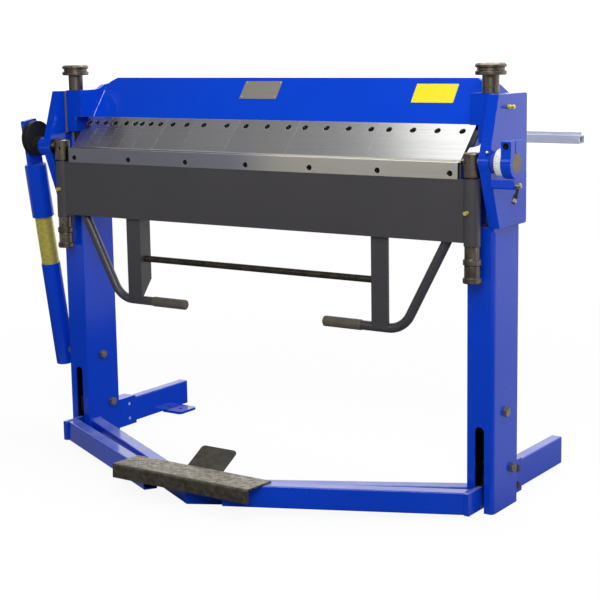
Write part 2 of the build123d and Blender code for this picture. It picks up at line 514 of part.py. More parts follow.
slot += rod((EYE_IN - 1, SLOT_END, SLOT_Z), (EYE_OUT + 1, SLOT_END, SLOT_Z), SLOT_R)
spring_low = SPRING_SEAT + WIRE_R + RUN
spring_high = spring_low + SPRING_TURNS * SPRING_PITCH
collar_low = spring_high + WIRE_R + RUN
pull_rod += rod((ROD_X, ROD_Y, collar_low), (ROD_X, ROD_Y, collar_low + 9), SPRING_R + 4)
pull_rod += eye
pull_rod -= slot
save("pull_rods", group(pull_rod, flip(pull_rod)))

# Springs round the rods that lift the upper beam when the pedal is let go
def helix(turns):
    """Point and unit tangent of the spring wire after so many turns."""
    a = turns * 2 * pi
    climb = SPRING_PITCH / (2 * pi)
    point = Vector(ROD_X + SPRING_R * cos(a), ROD_Y + SPRING_R * sin(a),
                   spring_low + SPRING_PITCH * turns)
    return point, Vector(-SPRING_R * sin(a), SPRING_R * cos(a), climb).normalized()


def biarc(p0, t0, p1, t1):
    """Two arcs that leave p0 along t0 and reach p1 along t1."""
    v = p1 - p0
    along_v = v.dot(t0 + t1)
    bend = 2 * (1 - t0.dot(t1))
    d = (-along_v + (along_v ** 2 + bend * v.dot(v)) ** 0.5) / bend
    middle = (p0 + t0 * d + p1 - t1 * d) * 0.5
    first = Edge.make_tangent_arc(p0, t0, middle)
    second = Edge.make_tangent_arc(middle, first % 1, p1)
    return [first, second]


wire_edges = []
for i in range(SPRING_TURNS * 4):
    wire_edges += biarc(*helix(i / 4), *helix((i + 1) / 4))
spring_path = Wire(wire_edges)
spring_start = Plane(origin=helix(0)[0], z_dir=helix(0)[1])
spring = sweep(spring_start * Circle(WIRE_R), path=spring_path)
turn_points = [helix(i / 16)[0] for i in range(SPRING_TURNS * 16 + 1)]
least = min((turn_points[i] - turn_points[j]).length
            for i in range(len(turn_points)) for j in range(i + 12, len(turn_points)))
print("spring: least gap between turns", round(least - 2 * WIRE_R, 2), "mm")
save("lift_springs", group(spring, flip(spring)))

# Knobs on the rods
knob_profile = [
    (0, 72), (KNOB_R - 4.5, 72), (KNOB_R, 68), (KNOB_R, 63), (KNOB_R - 4.5, 60.5),
    (KNOB_R - 4.5, 54.5), (KNOB_R, 52), (KNOB_R, 45), (KNOB_R - 2.5, 43), (KNOB_NECK_R, 43),
    (KNOB_NECK_R, RUN), (0, RUN),
]
knob = turned(ROD_X, ROD_Y, [(r, BLOCK_TOP + rise) for r, rise in knob_profile])
knob -= rod((ROD_X, ROD_Y, BLOCK_TOP - 1), (ROD_X, ROD_Y, BLOCK_TOP + 57), ROD_R + RUN)
save("clamp_knob_right", knob)
save("clamp_knob_left", flip(knob))

# Pivot heads: the cap, the shaft through the side plate and the spindle
SPINDLE_END = TUBE_BOTTOM - NUT_HIGH - LOCK_HIGH - 1
NECK_R = 15.0


def pivot_head(shaft_end):
    """One pivot head, drawn at the right."""
    top, bottom = AXIS_Z + HEAD_RISE, AXIS_Z - HEAD_DROP
    head = turned(HEAD_X, HEAD_Y, [
        (0, top), (HEAD_R - 2.5, top), (HEAD_R, top - 2.5), (HEAD_R, bottom),
        (SPINDLE_R, bottom), (SPINDLE_R, SPINDLE_END), (0, SPINDLE_END),
    ])
    head += rod((PLATE_IN + 0.5, 0, AXIS_Z), (shaft_end, 0, AXIS_Z), SHAFT_R)
    head += rod((HEAD_X, 0, AXIS_Z), (PLATE_IN + 1.5, 0, AXIS_Z), NECK_R)
    x, z = HEAD_X - 8, AXIS_Z - 4
    head -= rod((x, HEAD_Y - HEAD_R - 1, z), (x, HEAD_Y - 12, z), 3.5)
    return head


save("pivot_head_right", pivot_head(SHAFT_END))
save("pivot_head_left", flip(pivot_head(CRANK_OUT)))

# Height nuts under the folding beam tubes
def nut(z0, z1, flange, body_r):
    """A flanged round nut on the spindle."""
    flange_r = body_r + 3.5
    shape = turned(HEAD_X, HEAD_Y, [
        (0, z1), (body_r - 1, z1), (body_r, z1 - 1), (body_r, z0 + flange + 2),
        (flange_r, z0 + flange), (flange_r, z0 + 2), (flange_r - 2, z0), (0, z0),
    ])
    return shape - rod((HEAD_X, HEAD_Y, z0 - 1), (HEAD_X, HEAD_Y, z1 + 1), SPINDLE_R + RUN)


NUT_LOW = TUBE_BOTTOM - NUT_HIGH
LOCK_TOP = NUT_LOW - 0.5
nuts = group(nut(NUT_LOW, TUBE_BOTTOM - RUN, 14, 19), nut(LOCK_TOP - LOCK_HIGH, LOCK_TOP, 13, 19.5))
save("height_nuts_right", nuts)
save("height_nuts_left", group(flip(nuts)))

# Folding beam, its blade and screws
FOLD_END = HEAD_X - 17.5
BLADE_FRONT, BLADE_BACK = FOLD_FRONT + 0.8, FOLD_BACK + 0.4
SEAT_Y = BLADE_FRONT + BLADE_T
fold = box(-FOLD_END, FOLD_END, FOLD_FRONT, FOLD_BACK, BEAM_BOTTOM, BLADE_BOTTOM)
fold += box(-LOWER_END, LOWER_END, SEAT_Y, FOLD_BACK, BLADE_BOTTOM, BLADE_TOP - BLADE_LIP)
fold += box(-COL_IN + 5, COL_IN - 5, FOLD_FRONT, FLANGE_Y, BEAM_BOTTOM, BEAM_BOTTOM + FLANGE_T)
tube = rod((HEAD_X, HEAD_Y, TUBE_BOTTOM), (HEAD_X, HEAD_Y, TUBE_TOP), TUBE_R)
fold += tube
fold += flip(tube)
bore = rod((HEAD_X, HEAD_Y, TUBE_BOTTOM - 1), (HEAD_X, HEAD_Y, TUBE_TOP + 1), SPINDLE_R + RUN)
fold -= bore
fold -= flip(bore)
TUBE_NIPPLE_Z = BLADE_BOTTOM - 79
NIPPLE_X = HEAD_X - 3
tube_front = HEAD_Y - TUBE_R


def nipple_part(y0, y1, radius):
    """One step of the grease nipple on a tube, or its hole."""
    y0, y1 = tube_front + y0, tube_front + y1
    return rod((NIPPLE_X, y0, TUBE_NIPPLE_Z), (NIPPLE_X, y1, TUBE_NIPPLE_Z), radius)


nip_hole = nipple_part(-1, 7, NIPPLE_R)
fold -= nip_hole
fold -= flip(nip_hole)

blade = prism_x([
    (BLADE_FRONT, BLADE_BOTTOM), (BLADE_FRONT, BLADE_TOP), (BLADE_BACK, BLADE_TOP),
    (BLADE_BACK, BLADE_TOP - BLADE_LIP), (SEAT_Y, BLADE_TOP - BLADE_LIP), (SEAT_Y, BLADE_BOTTOM),
], -HALF, HALF)
BLADE_SCREWS, BLADE_SCREW_R, BLADE_HEAD_R = 7, 4.0, 7.0
BLADE_PITCH = (2 * HALF - 43) / (BLADE_SCREWS - 1)
HEAD_SEAT, HEAD_FACE = BLADE_FRONT + 5.2, BLADE_FRONT + 1.6
blade_screws = []
for i in range(BLADE_SCREWS):
    x = (i - (BLADE_SCREWS - 1) / 2) * BLADE_PITCH
    z = BLADE_BOTTOM + 13.5
    blade -= rod((x, FOLD_FRONT, z), (x, HEAD_SEAT, z), BLADE_HEAD_R + 0.6)
    blade -= rod((x, FOLD_FRONT, z), (x, SEAT_Y + 1.5, z), BLADE_SCREW_R + 0.2)
    fold -= rod((x, SEAT_Y - 0.5, z), (x, 0, z), BLADE_SCREW_R)
    screw = rod((x, HEAD_FACE, z), (x, HEAD_SEAT, z), BLADE_HEAD_R)
    screw += rod((x, HEAD_SEAT, z), (x, FOLD_BACK, z), BLADE_SCREW_R)
    plane = Plane(origin=(x, HEAD_FACE, z), z_dir=(0, 1, 0))
    screw -= extrude(plane * RegularPolygon(3, 6, major_radius=False), 2.6)
    blade_screws.append(screw)
save("folding_blade", blade)
save("blade_screws", group(*blade_screws))

tube_nipple = nipple_part(7, -8, NIPPLE_R) + nipple_part(-FIT, -5, 5) + nipple_part(-8, -12, 5)
save("tube_grease_nipples", group(tube_nipple, flip(tube_nipple)))

# Handles, their brackets, the cross rod and the grips
handle_run = (HANDLE_X - CORNER_X) / HANDLE_DROP
path = Polyline((HANDLE_X + 30 * handle_run, HANDLE_Y, BEAM_BOTTOM + 30),
                (CORNER_X, HANDLE_Y, HANDLE_Z), (GRIP_X + GRIP_CAP, HANDLE_Y, HANDLE_Z))
corner = path.vertices().sort_by(lambda v: (v.X - CORNER_X) ** 2 + (v.Z - HANDLE_Z) ** 2)[0]
path = fillet(corner, HANDLE_BEND)
start = Plane(origin=path @ 0, z_dir=path % 0)
handle = sweep(start * Circle(HANDLE_R), path=path)
handle -= box(HANDLE_X - 60, HANDLE_X + 60, -60, 60, BEAM_BOTTOM, BEAM_BOTTOM + 90)
handle = handle.solids().sort_by(SortBy.VOLUME)[-1]

BR_OUT, BR_FRONT, BR_REAR = BR_IN + BR_WIDTH, HANDLE_Y - 11, HANDLE_Y + 33
bracket = prism_x([
    (BR_FRONT, BEAM_BOTTOM), (BR_FRONT, HANDLE_Z + 5), (BR_FRONT + BR_T, HANDLE_Z + 11),
    (BR_REAR, HANDLE_Z + 59), (BR_REAR, BEAM_BOTTOM),
], BR_IN, BR_OUT)
bracket -= box(BR_IN + BR_T, BR_OUT + 1, BR_FRONT + BR_T, BR_REAR + 1, HANDLE_Z - 50, BEAM_BOTTOM + 1)
CROSS = (HANDLE_Y + 11, HANDLE_Z + 119)
bracket -= rod((BR_IN - 1, *CROSS), (BR_OUT + 1, *CROSS), CROSS_R)
bracket -= handle
bracket = bracket.solids().sort_by(SortBy.VOLUME)[-1]
save("handle_brackets", group(bracket, flip(bracket)))
save("handles", group(handle, flip(handle)))
save("cross_rod", rod((-BR_IN - BR_T, *CROSS), (BR_IN + BR_T, *CROSS), CROSS_R))

grip_end = GRIP_X + GRIP_LONG
grip = turned_x(HANDLE_Y, HANDLE_Z, [
    (GRIP_X, 0), (GRIP_X, GRIP_R - 3.5), (GRIP_X + 3, GRIP_R), (grip_end - 3, GRIP_R),
    (grip_end, GRIP_R - 1), (grip_end, 0),
])
grip -= rod((GRIP_X + GRIP_CAP, HANDLE_Y, HANDLE_Z), (grip_end + 2, HANDLE_Y, HANDLE_Z), HANDLE_R)
save("hand_grips", group(grip, flip(grip)))
save("folding_beam", fold)

# Crank disc of the balancer, keyed on the left shaft
disc = rod((-CRANK_IN, *CRANK_MID), (-CRANK_OUT, *CRANK_MID), CRANK_R)
disc = chamfer(disc.faces().sort_by(Axis.X)[0].edges(), 1.5)
disc += rod((-CRANK_IN - 1, 0, AXIS_Z), (-PLATE_OUT - BOSS_LONG - RUN, 0, AXIS_Z), SHAFT_R + 4)
disc -= rod((-CRANK_OUT - 7, 0, AXIS_Z), (-PLATE_OUT, 0, AXIS_Z), SHAFT_R)
save("crank_disc", disc)

# Balancer strut
foot = Vector(STRUT_X, *ANCHOR)
pin_point = Vector(STRUT_X, *CRANK_PIN)
along = (pin_point - foot).normalized()


def up_strut(z):
    """The point of the strut axis at a height."""
    return foot + along * ((z - foot.Z) / along.Z)


STRUT_FOOT, STRUT_JOIN = ANCHOR[1] - 41, ANCHOR[1] + 274
STRUT_TOP = AXIS_Z - 55
STRUT_MOUTH, STRUT_ROOF = STRUT_TOP - 158, STRUT_TOP - 17
lower_tube = rod(up_strut(STRUT_FOOT), up_strut(STRUT_JOIN), STRUT_R)
lower_tube -= rod((STRUT_X - 16, *ANCHOR), (STRUT_X + 40, *ANCHOR), BOLT_R + FIT)
save("strut_lower_tube", lower_tube)
inner_top = STRUT_ROOF - STRUT_STROKE - 7
save("strut_inner_tube", rod(up_strut(STRUT_JOIN), up_strut(inner_top), STRUT_INNER_R))
upper_tube = rod(up_strut(STRUT_MOUTH), up_strut(STRUT_TOP), STRUT_UPPER_R)
upper_tube = chamfer(upper_tube.edges().sort_by(Axis.Z)[-1], 4)
upper_tube -= rod(up_strut(STRUT_MOUTH - 1), up_strut(STRUT_ROOF), STRUT_INNER_R + RUN)
reach = (pin_point - foot).length
rise_top = (up_strut(STRUT_TOP) - foot).length
LUG_IN, LUG_THICK, LUG_WIDE = CRANK_OUT + 3, 14.0, 52.0
lug_plane = Plane(origin=(-LUG_IN, foot.Y, foot.Z), x_dir=(0, -along.Z, along.Y), z_dir=(-1, 0, 0))
lug_low, lug_high = rise_top - 6, reach + 50
lug_face = Pos(0, (lug_low + lug_high) / 2) * RectangleRounded(LUG_WIDE, lug_high - lug_low, 6)
lug = extrude(lug_plane * lug_face, LUG_THICK, dir=(-1, 0, 0))
upper_tube += lug
upper_tube += rod((-LUG_IN - LUG_THICK, *CRANK_PIN), (-LUG_IN - LUG_THICK - 11, *CRANK_PIN), 15)
upper_tube += rod((-LUG_IN, *CRANK_PIN), (-CRANK_OUT - 0.4, *CRANK_PIN), 14)
save("strut_upper_tube", upper_tube)

anchor_left = rod((-COL_IN, *ANCHOR), (STRUT_X - 15, *ANCHOR), BOLT_R)
anchor_left += extrude(Plane(origin=(-COL_IN, *ANCHOR), z_dir=(1, 0, 0))
                       * RegularPolygon(BOLT_ACROSS / 2, 6, major_radius=False), BOLT_HEAD)
anchor_left += rod((-COL_OUT, *ANCHOR), (STRUT_X + STRUT_R + 0.5, *ANCHOR), BOLT_R + 4)
save("strut_anchor_bolt", anchor_left)

# Angle stop on the right shaft: a scale drum, a split collar and the stop below it
drum_profile = [
    (1, 0), (1, DRUM_HUB_R), (12.5, DRUM_HUB_R), (14.5, DRUM_R), (DRUM_END, DRUM_R), (DRUM_END, 0),
]
drum = turned_x(0, AXIS_Z, [(PLATE_OUT + x, r) for x, r in drum_profile])
for i in range(19):
    long = 9.6 if i % 3 == 0 else 6.4
    mark_x = PLATE_OUT + 14.5
    mark = box(mark_x, mark_x + long, -0.35, 0.35, DRUM_R - 0.6, DRUM_R + 1)
    drum -= Pos(0, 0, AXIS_Z) * (Rot(X=i * 10) * mark)
drum -= rod((PLATE_OUT - 5, 0, AXIS_Z), (SHAFT_END + 4, 0, AXIS_Z), SHAFT_R)
save("protractor_drum", drum)
COLLAR_X = PLATE_OUT + DRUM_END + RUN
COLLAR_TOP = AXIS_Z + COLLAR_HIGH
collar = rod((COLLAR_X, 0, AXIS_Z), (SHAFT_END, 0, AXIS_Z), COLLAR_R)
collar += box(COLLAR_X, SHAFT_END, -COLLAR_HALF, COLLAR_HALF, AXIS_Z, COLLAR_TOP)
collar = fillet(collar.edges().filter_by(Axis.X).group_by(Axis.Z)[-1], 4)
collar = chamfer(collar.faces().sort_by(Axis.X)[-1].edges(), 0.8)
collar -= box(COLLAR_X - 1, SHAFT_END + 1, -11.5, -7.5, AXIS_Z + 10, COLLAR_TOP + 2)
collar -= rod((COLLAR_X - 1, 0, AXIS_Z), (SHAFT_END + 1, 0, AXIS_Z), SHAFT_R)
STOP_X, STOP_Z = COLLAR_X + 13, COLLAR_TOP - 13
CLAMP_R, CLAMP_HEAD_R, CLAMP_SEAT, CLAMP_END = 4.0, 7.8, 7.0, 20.0
front = -COLLAR_HALF
collar -= rod((STOP_X, front - 1, STOP_Z), (STOP_X, front + CLAMP_SEAT, STOP_Z), CLAMP_HEAD_R + 0.5)
collar -= rod((STOP_X, front + 4, STOP_Z), (STOP_X, CLAMP_END, STOP_Z), CLAMP_R)
save("stop_collar", collar)
screw = rod((STOP_X, front + 1, STOP_Z), (STOP_X, front + CLAMP_SEAT, STOP_Z), CLAMP_HEAD_R)
screw += rod((STOP_X, front + CLAMP_SEAT, STOP_Z), (STOP_X, CLAMP_END, STOP_Z), CLAMP_R)
screw -= extrude(Plane(origin=(STOP_X, front + 1, STOP_Z), z_dir=(0, 1, 0))
                 * RegularPolygon(3.5, 6, major_radius=False), 4)
save("collar_screw", screw)

# The block of the collar comes to rest on the sloping top of this bracket
LEVER = (-6.0, AXIS_Z - 53.5)
LEVER_R = 4.0
ST_FRONT, ST_LOW, ST_HIGH = -18.0, AXIS_Z - 62, AXIS_Z - 39.5
stop_gap = COLLAR_HALF + RUN


def stop_face(z):
    """Where the collar's block, fully swung, would be met at a height."""
    return (stop_gap + (z - AXIS_Z) * sin(FOLD_LIMIT)) / cos(FOLD_LIMIT)


stop_bracket = prism_x([
    (ST_FRONT, ST_LOW), (ST_FRONT, ST_HIGH), (stop_face(ST_HIGH), ST_HIGH), (stop_face(ST_LOW), ST_LOW),
], PLATE_OUT, SHAFT_END)
stop_bracket = fillet(stop_bracket.edges().filter_by(Axis.X).group_by(Axis.Z)[0].sort_by(Axis.Y)[0], 5)
stop_bracket -= rod((SHAFT_END - 26, *LEVER), (SHAFT_END + 1, *LEVER), LEVER_R + FIT)
for spot in STOP_SCREWS:
    stop_bracket += rod((PLATE_OUT - STOP_SCREW_DEEP, *spot), (PLATE_OUT + 1, *spot), STOP_SCREW_R)
save("stop_bracket", stop_bracket)
lever = rod((SHAFT_END - 24, *LEVER), (SHAFT_END + RUN, *LEVER), LEVER_R)
lever += turned_x(*LEVER, [
    (SHAFT_END + RUN, 0), (SHAFT_END + RUN, 7.5), (SHAFT_END + 11, 7.5), (SHAFT_END + 14, 5),
    (SHAFT_END + 14, 0),
])
LEVER_X = SHAFT_END + 7
tip_y, tip_z = LEVER[0] - 27, LEVER[1] - 37.5
lever += rod((LEVER_X, *LEVER), (LEVER_X, tip_y + 9, tip_z + 11), 3.6)
lever += rod((LEVER_X, tip_y + 14, tip_z + 17), (LEVER_X, tip_y, tip_z), 5.6)
save("clamp_lever", lever)
index = rod(INDEX - edge_out * INDEX_DEEP, INDEX + edge_out * 5, INDEX_R)
index += Pos(*(INDEX + edge_out * 6.5)) * Sphere(4.6)
save("index_pin", index)

# Pedal frame: two arms through the column slots and a V of tube to the treadle
angle = atan2(PEDAL_SLOPE, 1)
run_in = PEDAL_WIDE / cos(angle)
tip = (PEDAL_TIP_X, PEDAL_FRONT - PEDAL_SLOPE * (ARM_IN - PEDAL_TIP_X))
back_tip = (tip[0] - PEDAL_WIDE * sin(angle), tip[1] + PEDAL_WIDE * cos(angle))
tube_plan = [(ARM_IN, PEDAL_FRONT), tip, back_tip, (ARM_IN, PEDAL_FRONT + run_in)]
tube_v = prism_z(tube_plan, PEDAL_Z0, PEDAL_Z1)
tube_edges = [e for e in tube_v.edges()
              if abs((e % 0.5).Z) < 0.5 and abs((e % 0.5).X) > 0.7]
tube_v = fillet(tube_edges, TUBE_ROUND)
w = PEDAL_WALL
ins = w / cos(angle)
hollow_plan = [
    (ARM_IN - w, PEDAL_FRONT + ins - PEDAL_SLOPE * w),
    (tip[0] - 3 - w * sin(angle), tip[1] - 3 * PEDAL_SLOPE + w * cos(angle)),
    (back_tip[0] - 3 + w * sin(angle), back_tip[1] - 3 * PEDAL_SLOPE - w * cos(angle)),
    (ARM_IN - w, PEDAL_FRONT + run_in - ins - PEDAL_SLOPE * w),
]
tube_v -= prism_z(hollow_plan, PEDAL_Z0 + w, PEDAL_Z1 - w)
raised = Pos(0, PEDAL_FRONT, 0) * Rot(X=-degrees(atan2(PEDAL_TILT, 1))) * Pos(0, -PEDAL_FRONT, 0)
pivot_y, pivot_z = PEDAL_PIVOT
arm = prism_x([
    (PEDAL_FRONT - 4, PEDAL_Z0), (PEDAL_FRONT - 4, PEDAL_Z1), (COL_FRONT + 18, PEDAL_Z1),
    (COL_FRONT + 26, pivot_z), (COL_FRONT + 28, pivot_z + 20), (pivot_y + 6, pivot_z + 20),
    (pivot_y + 20, pivot_z + 10), (pivot_y + 20, PEDAL_Z0 + 16), (pivot_y + 12, PEDAL_Z0),
], ARM_IN, ARM_OUT)
arm = fillet(arm.edges().filter_by(Axis.X), 2)
arm += raised * tube_v
arm += rod((ARM_OUT - 1, *PIN), (EYE_OUT + 4, *PIN), PIN_R)
arm -= rod((ARM_IN - 1, *PEDAL_PIVOT), (ARM_OUT + 1, *PEDAL_PIVOT), BOLT_R + FIT)
save("pedal_arms", group(arm, flip(arm)))

TREAD_Y, TREAD_Z = tip[1] - TREAD_LAP, PEDAL_Z1 + TREAD_T
tread = box(-TREAD_X, TREAD_X, TREAD_Y, TREAD_Y + TREAD_DEPTH, PEDAL_Z1, TREAD_Z)
tread += box(-TREAD_X, TREAD_X, TREAD_Y, TREAD_Y + TREAD_T, TREAD_Z - TREAD_LIP, TREAD_Z)
tread = fillet(tread.edges().filter_by(Axis.X).group_by(Axis.Z)[-1].sort_by(Axis.Y)[0], TREAD_T * 1.5)
save("treadle", raised * tread)

# Latch release pedal behind the treadle, on a hinge tube
RELEASE_X, RELEASE_TUBE_R, RELEASE_ROUND = 57.0, 6.0, 10.0
release = prism_x([(HINGE[0] + y, HINGE[1] + z) for y, z in (
    (10, 1), (22, 7), (85, 43), (82.4, 47.3), (17, 9.9), (8, 5.6))], -RELEASE_X, RELEASE_X)
plate_ends = release.edges().filter_by(lambda e: e.length < 6).group_by(Axis.Y)[-1]
release = fillet(plate_ends, RELEASE_ROUND)
TUBE_HALF = LUG_X - 0.5
release += rod((-TUBE_HALF, *HINGE), (TUBE_HALF, *HINGE), RELEASE_TUBE_R)
release += box(-TUBE_HALF, TUBE_HALF, HINGE[0], HINGE[0] + 14, HINGE[1] + 1, HINGE[1] + 5.5)
release -= rod((-RELEASE_X - 5, *HINGE), (RELEASE_X + 5, *HINGE), HINGE_R + FIT)
save("release_pedal", release)
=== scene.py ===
# %% [markdown]
# # A foot-operated box and pan brake
# The machine folds sheet metal: a treadle pulls the blue clamping beam down on the sheet, and the
# dark leaf in front swings up and bends it. The solids come from the CAD frame in metres, so nothing
# is moved here. This script gives every piece its finish, adds the small things that are easier to
# model as meshes, and sets the camera and the light of a plain studio.

import math

import bmesh
import bpy
from mathutils import Matrix, Vector, noise


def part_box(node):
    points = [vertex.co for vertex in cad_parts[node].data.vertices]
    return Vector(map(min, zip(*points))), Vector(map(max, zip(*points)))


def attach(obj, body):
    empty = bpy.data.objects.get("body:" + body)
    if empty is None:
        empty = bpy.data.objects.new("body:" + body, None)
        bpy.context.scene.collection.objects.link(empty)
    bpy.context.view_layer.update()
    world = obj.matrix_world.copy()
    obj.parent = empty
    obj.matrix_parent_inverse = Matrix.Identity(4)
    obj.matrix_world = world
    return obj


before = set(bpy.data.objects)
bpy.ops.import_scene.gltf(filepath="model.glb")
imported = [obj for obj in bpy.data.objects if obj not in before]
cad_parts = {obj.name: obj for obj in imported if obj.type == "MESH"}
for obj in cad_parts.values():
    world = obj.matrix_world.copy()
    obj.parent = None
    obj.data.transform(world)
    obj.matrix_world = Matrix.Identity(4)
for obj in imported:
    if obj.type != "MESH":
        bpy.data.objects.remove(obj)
scene = bpy.context.scene
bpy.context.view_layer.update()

# %% [markdown]
# ## Camera
# The picture was taken from the operator's right, a little above the bed, with a longish lens. The
# numbers come from lining up the fingers, the columns and the beam with the picture. A small shift
# stands for the picture's crop; aiming the camera instead would tilt the upright columns.

# %% Camera
YAW, PITCH, ROLL = math.radians(34.38), math.radians(9.12), math.radians(-0.92)
FOCAL_PX, IMAGE_PX = 1441.4, 600
CENTRE_PX = (303.91, 274.06)
EYE = Vector((2.2797, -2.7991, 1.1716))

ahead = Vector((-math.sin(YAW) * math.cos(PITCH), math.cos(YAW) * math.cos(PITCH), -math.sin(PITCH)))
level = Vector((math.cos(YAW), math.sin(YAW), 0))
upward = level.cross(ahead)
across = math.cos(ROLL) * level + math.sin(ROLL) * upward
upward = -math.sin(ROLL) * level + math.cos(ROLL) * upward

lens = bpy.data.cameras.new("camera")
lens.sensor_width = 36.0
lens.lens = FOCAL_PX / IMAGE_PX * lens.sensor_width
lens.shift_x = (IMAGE_PX / 2 - CENTRE_PX[0]) / IMAGE_PX
lens.shift_y = (CENTRE_PX[1] - IMAGE_PX / 2) / IMAGE_PX
lens.clip_end = 60
camera = bpy.data.objects.new("camera", lens)
camera.matrix_world = Matrix.Translation(EYE) @ Matrix((across, upward, -ahead)).transposed().to_4x4()
scene.collection.objects.link(camera)
scene.camera = camera
print("lens", round(lens.lens, 2), "mm, shift", round(lens.shift_x, 4), round(lens.shift_y, 4))

# %% [markdown]
# ## Studio
# A white sweep stands behind the machine, so everything that faces back or right mirrors white, while
# the room in front is dim. That is what turns the right-hand sides of the blue paint lavender and
# leaves the fronts deep blue. The world is therefore white towards the rear and grey towards the
# operator, and plain white where the camera looks straight at it. World and materials are built from
# nodes, so a few helpers for wiring them come first.

# %% Helpers for node trees
def join(tree, source, target):
    """Wire one socket to another."""
    tree.links.new(source, target)


def maths(tree, kind, a, b=None):
    """A Math node; a and b are sockets or numbers."""
    made = tree.nodes.new("ShaderNodeMath")
    made.operation = kind
    for slot, value in zip(made.inputs, (a, b)):
        if value is None:
            continue
        if isinstance(value, (int, float)):
            slot.default_value = value
        else:
            join(tree, value, slot)
    return made.outputs[0]


def product(tree, first, *others):
    """Several sockets or numbers multiplied together."""
    for other in others:
        first = maths(tree, "MULTIPLY", first, other)
    return first


def spread(tree, value, low, high, to_low, to_high):
    """Map a value from one range to another, smoothly and without overshoot."""
    made = tree.nodes.new("ShaderNodeMapRange")
    made.interpolation_type = "SMOOTHSTEP"
    join(tree, value, made.inputs["Value"])
    for name, number in (("From Min", low), ("From Max", high), ("To Min", to_low), ("To Max", to_high)):
        made.inputs[name].default_value = number
    return made.outputs["Result"]


def axes(tree, vector):
    """The X, Y and Z of a vector, as three sockets."""
    split = tree.nodes.new("ShaderNodeSeparateXYZ")
    join(tree, vector, split.inputs[0])
    return split.outputs


print("node helpers ready")

# %% World
scene.view_settings.view_transform = "Standard"
world = bpy.data.worlds.new("studio")
scene.world = world
world.use_nodes = True
room = world.node_tree
room.nodes.clear()
DIM_FRONT, BRIGHT_REAR = 0.025, 1.25
DIM_UP_TO, BRIGHT_FROM = -0.16, 0.80    # how far a direction agrees with the bright side
BRIGHT_SIDE = (0.05, 0.95, 0.30)
looking = room.nodes.new("ShaderNodeTexCoord").outputs["Generated"]
towards = room.nodes.new("ShaderNodeVectorMath")
towards.operation = "DOT_PRODUCT"
towards.inputs[1].default_value = BRIGHT_SIDE
join(room, looking, towards.inputs[0])
room_level = spread(room, towards.outputs["Value"], DIM_UP_TO, BRIGHT_FROM, DIM_FRONT, BRIGHT_REAR)
ray = room.nodes.new("ShaderNodeLightPath")
seen = maths(room, "MAXIMUM", room_level, ray.outputs["Is Camera Ray"])
background = room.nodes.new("ShaderNodeBackground")
background.inputs["Color"].default_value = (1.0, 1.0, 1.0, 1)
join(room, seen, background.inputs["Strength"])
join(room, background.outputs[0], room.nodes.new("ShaderNodeOutputWorld").inputs["Surface"])
print("world:", DIM_FRONT, "in front to", BRIGHT_REAR, "behind")

# %% [markdown]
# ## Lamps
# Four large soft boxes at a plain level: one overhead, whose mirror image makes the right-hand
# fingers bright while the left ones stay dark, one from the operator's side for the fronts, one high
# in front for the slopes of the beam and the fingers, and a weak one from the front left.

# %% Lamps
def soft_box(name, place, aim, width, depth, watts):
    """A rectangular lamp at place that shines towards aim."""
    lamp = bpy.data.lights.new(name, "AREA")
    lamp.shape = "RECTANGLE"
    lamp.size, lamp.size_y = width, depth
    lamp.energy = watts
    holder = bpy.data.objects.new(name, lamp)
    turn = (Vector(aim) - Vector(place)).to_track_quat("-Z", "Y").to_matrix()
    holder.matrix_world = Matrix.Translation(place) @ turn.to_4x4()
    scene.collection.objects.link(holder)
    print("lamp", name, watts, "W")


soft_box("overhead_box", (0.62, 0.68, 2.75), (0.62, 0.45, 0.0), 2.5, 1.36, 25)
soft_box("operator_box", (1.9, -2.6, 2.6), (0.0, 0.2, 0.7), 2.0, 1.6, 69)
soft_box("high_front_box", (0.5, -1.4, 3.1), (0.2, 0.4, 0.9), 1.4, 0.8, 15)
soft_box("left_front_box", (-1.5, -2.8, 2.1), (0.2, 0.3, 0.85), 1.7, 1.0, 11)

# %% [markdown]
# ## Floor
# The sweep under the machine is the same white paper as behind it. Part of its brightness is its own,
# for camera and mirror rays only, so it stays white and still shows the soft shadow of the machine.
# In mirror rays the paper fades out in front and to the left, where the real room was dim, or else the
# blue fronts would turn pale. A weak patch is left there for the left arm of the base.

# %% Floor sheet
FLOOR_HALF, FLOOR_DROP = 9.0, 0.0005
CORNERS = ((-1, -1), (1, -1), (1, 1), (-1, 1))
sheet_mesh = bpy.data.meshes.new("floor")
sheet_points = [(x * FLOOR_HALF, y * FLOOR_HALF, -FLOOR_DROP) for x, y in CORNERS]
sheet_mesh.from_pydata(sheet_points, [], [(0, 1, 2, 3)])
floor = bpy.data.objects.new("floor", sheet_mesh)
scene.collection.objects.link(floor)
print("floor", 2 * FLOOR_HALF, "m square")

# %% Where the floor shows in a mirror
paper = bpy.data.materials.new("floor_paper")
paper.use_nodes = True
sheet = paper.node_tree
sheet.nodes.clear()
spot = sheet.nodes.new("ShaderNodeTexCoord").outputs["Object"]
part = axes(sheet, spot)
right_rear = product(sheet, spread(sheet, part["Y"], -0.1, 0.6, 0.04, 1.0),
                     spread(sheet, part["X"], 0.35, 1.0, 0.02, 0.65))
LEFT_PATCH = 0.29    # its brightness; the four ranges below are its edges
left_patch = product(sheet, spread(sheet, part["X"], -1.15, -0.95, 0.0, LEFT_PATCH),
                     spread(sheet, part["X"], -0.25, 0.0, 1.0, 0.0),
                     spread(sheet, part["Y"], -0.25, 0.0, 0.0, 1.0),
                     spread(sheet, part["Y"], 0.35, 0.5, 1.0, 0.0))
paper_here = maths(sheet, "MAXIMUM", right_rear, left_patch)
print("left patch at", LEFT_PATCH)

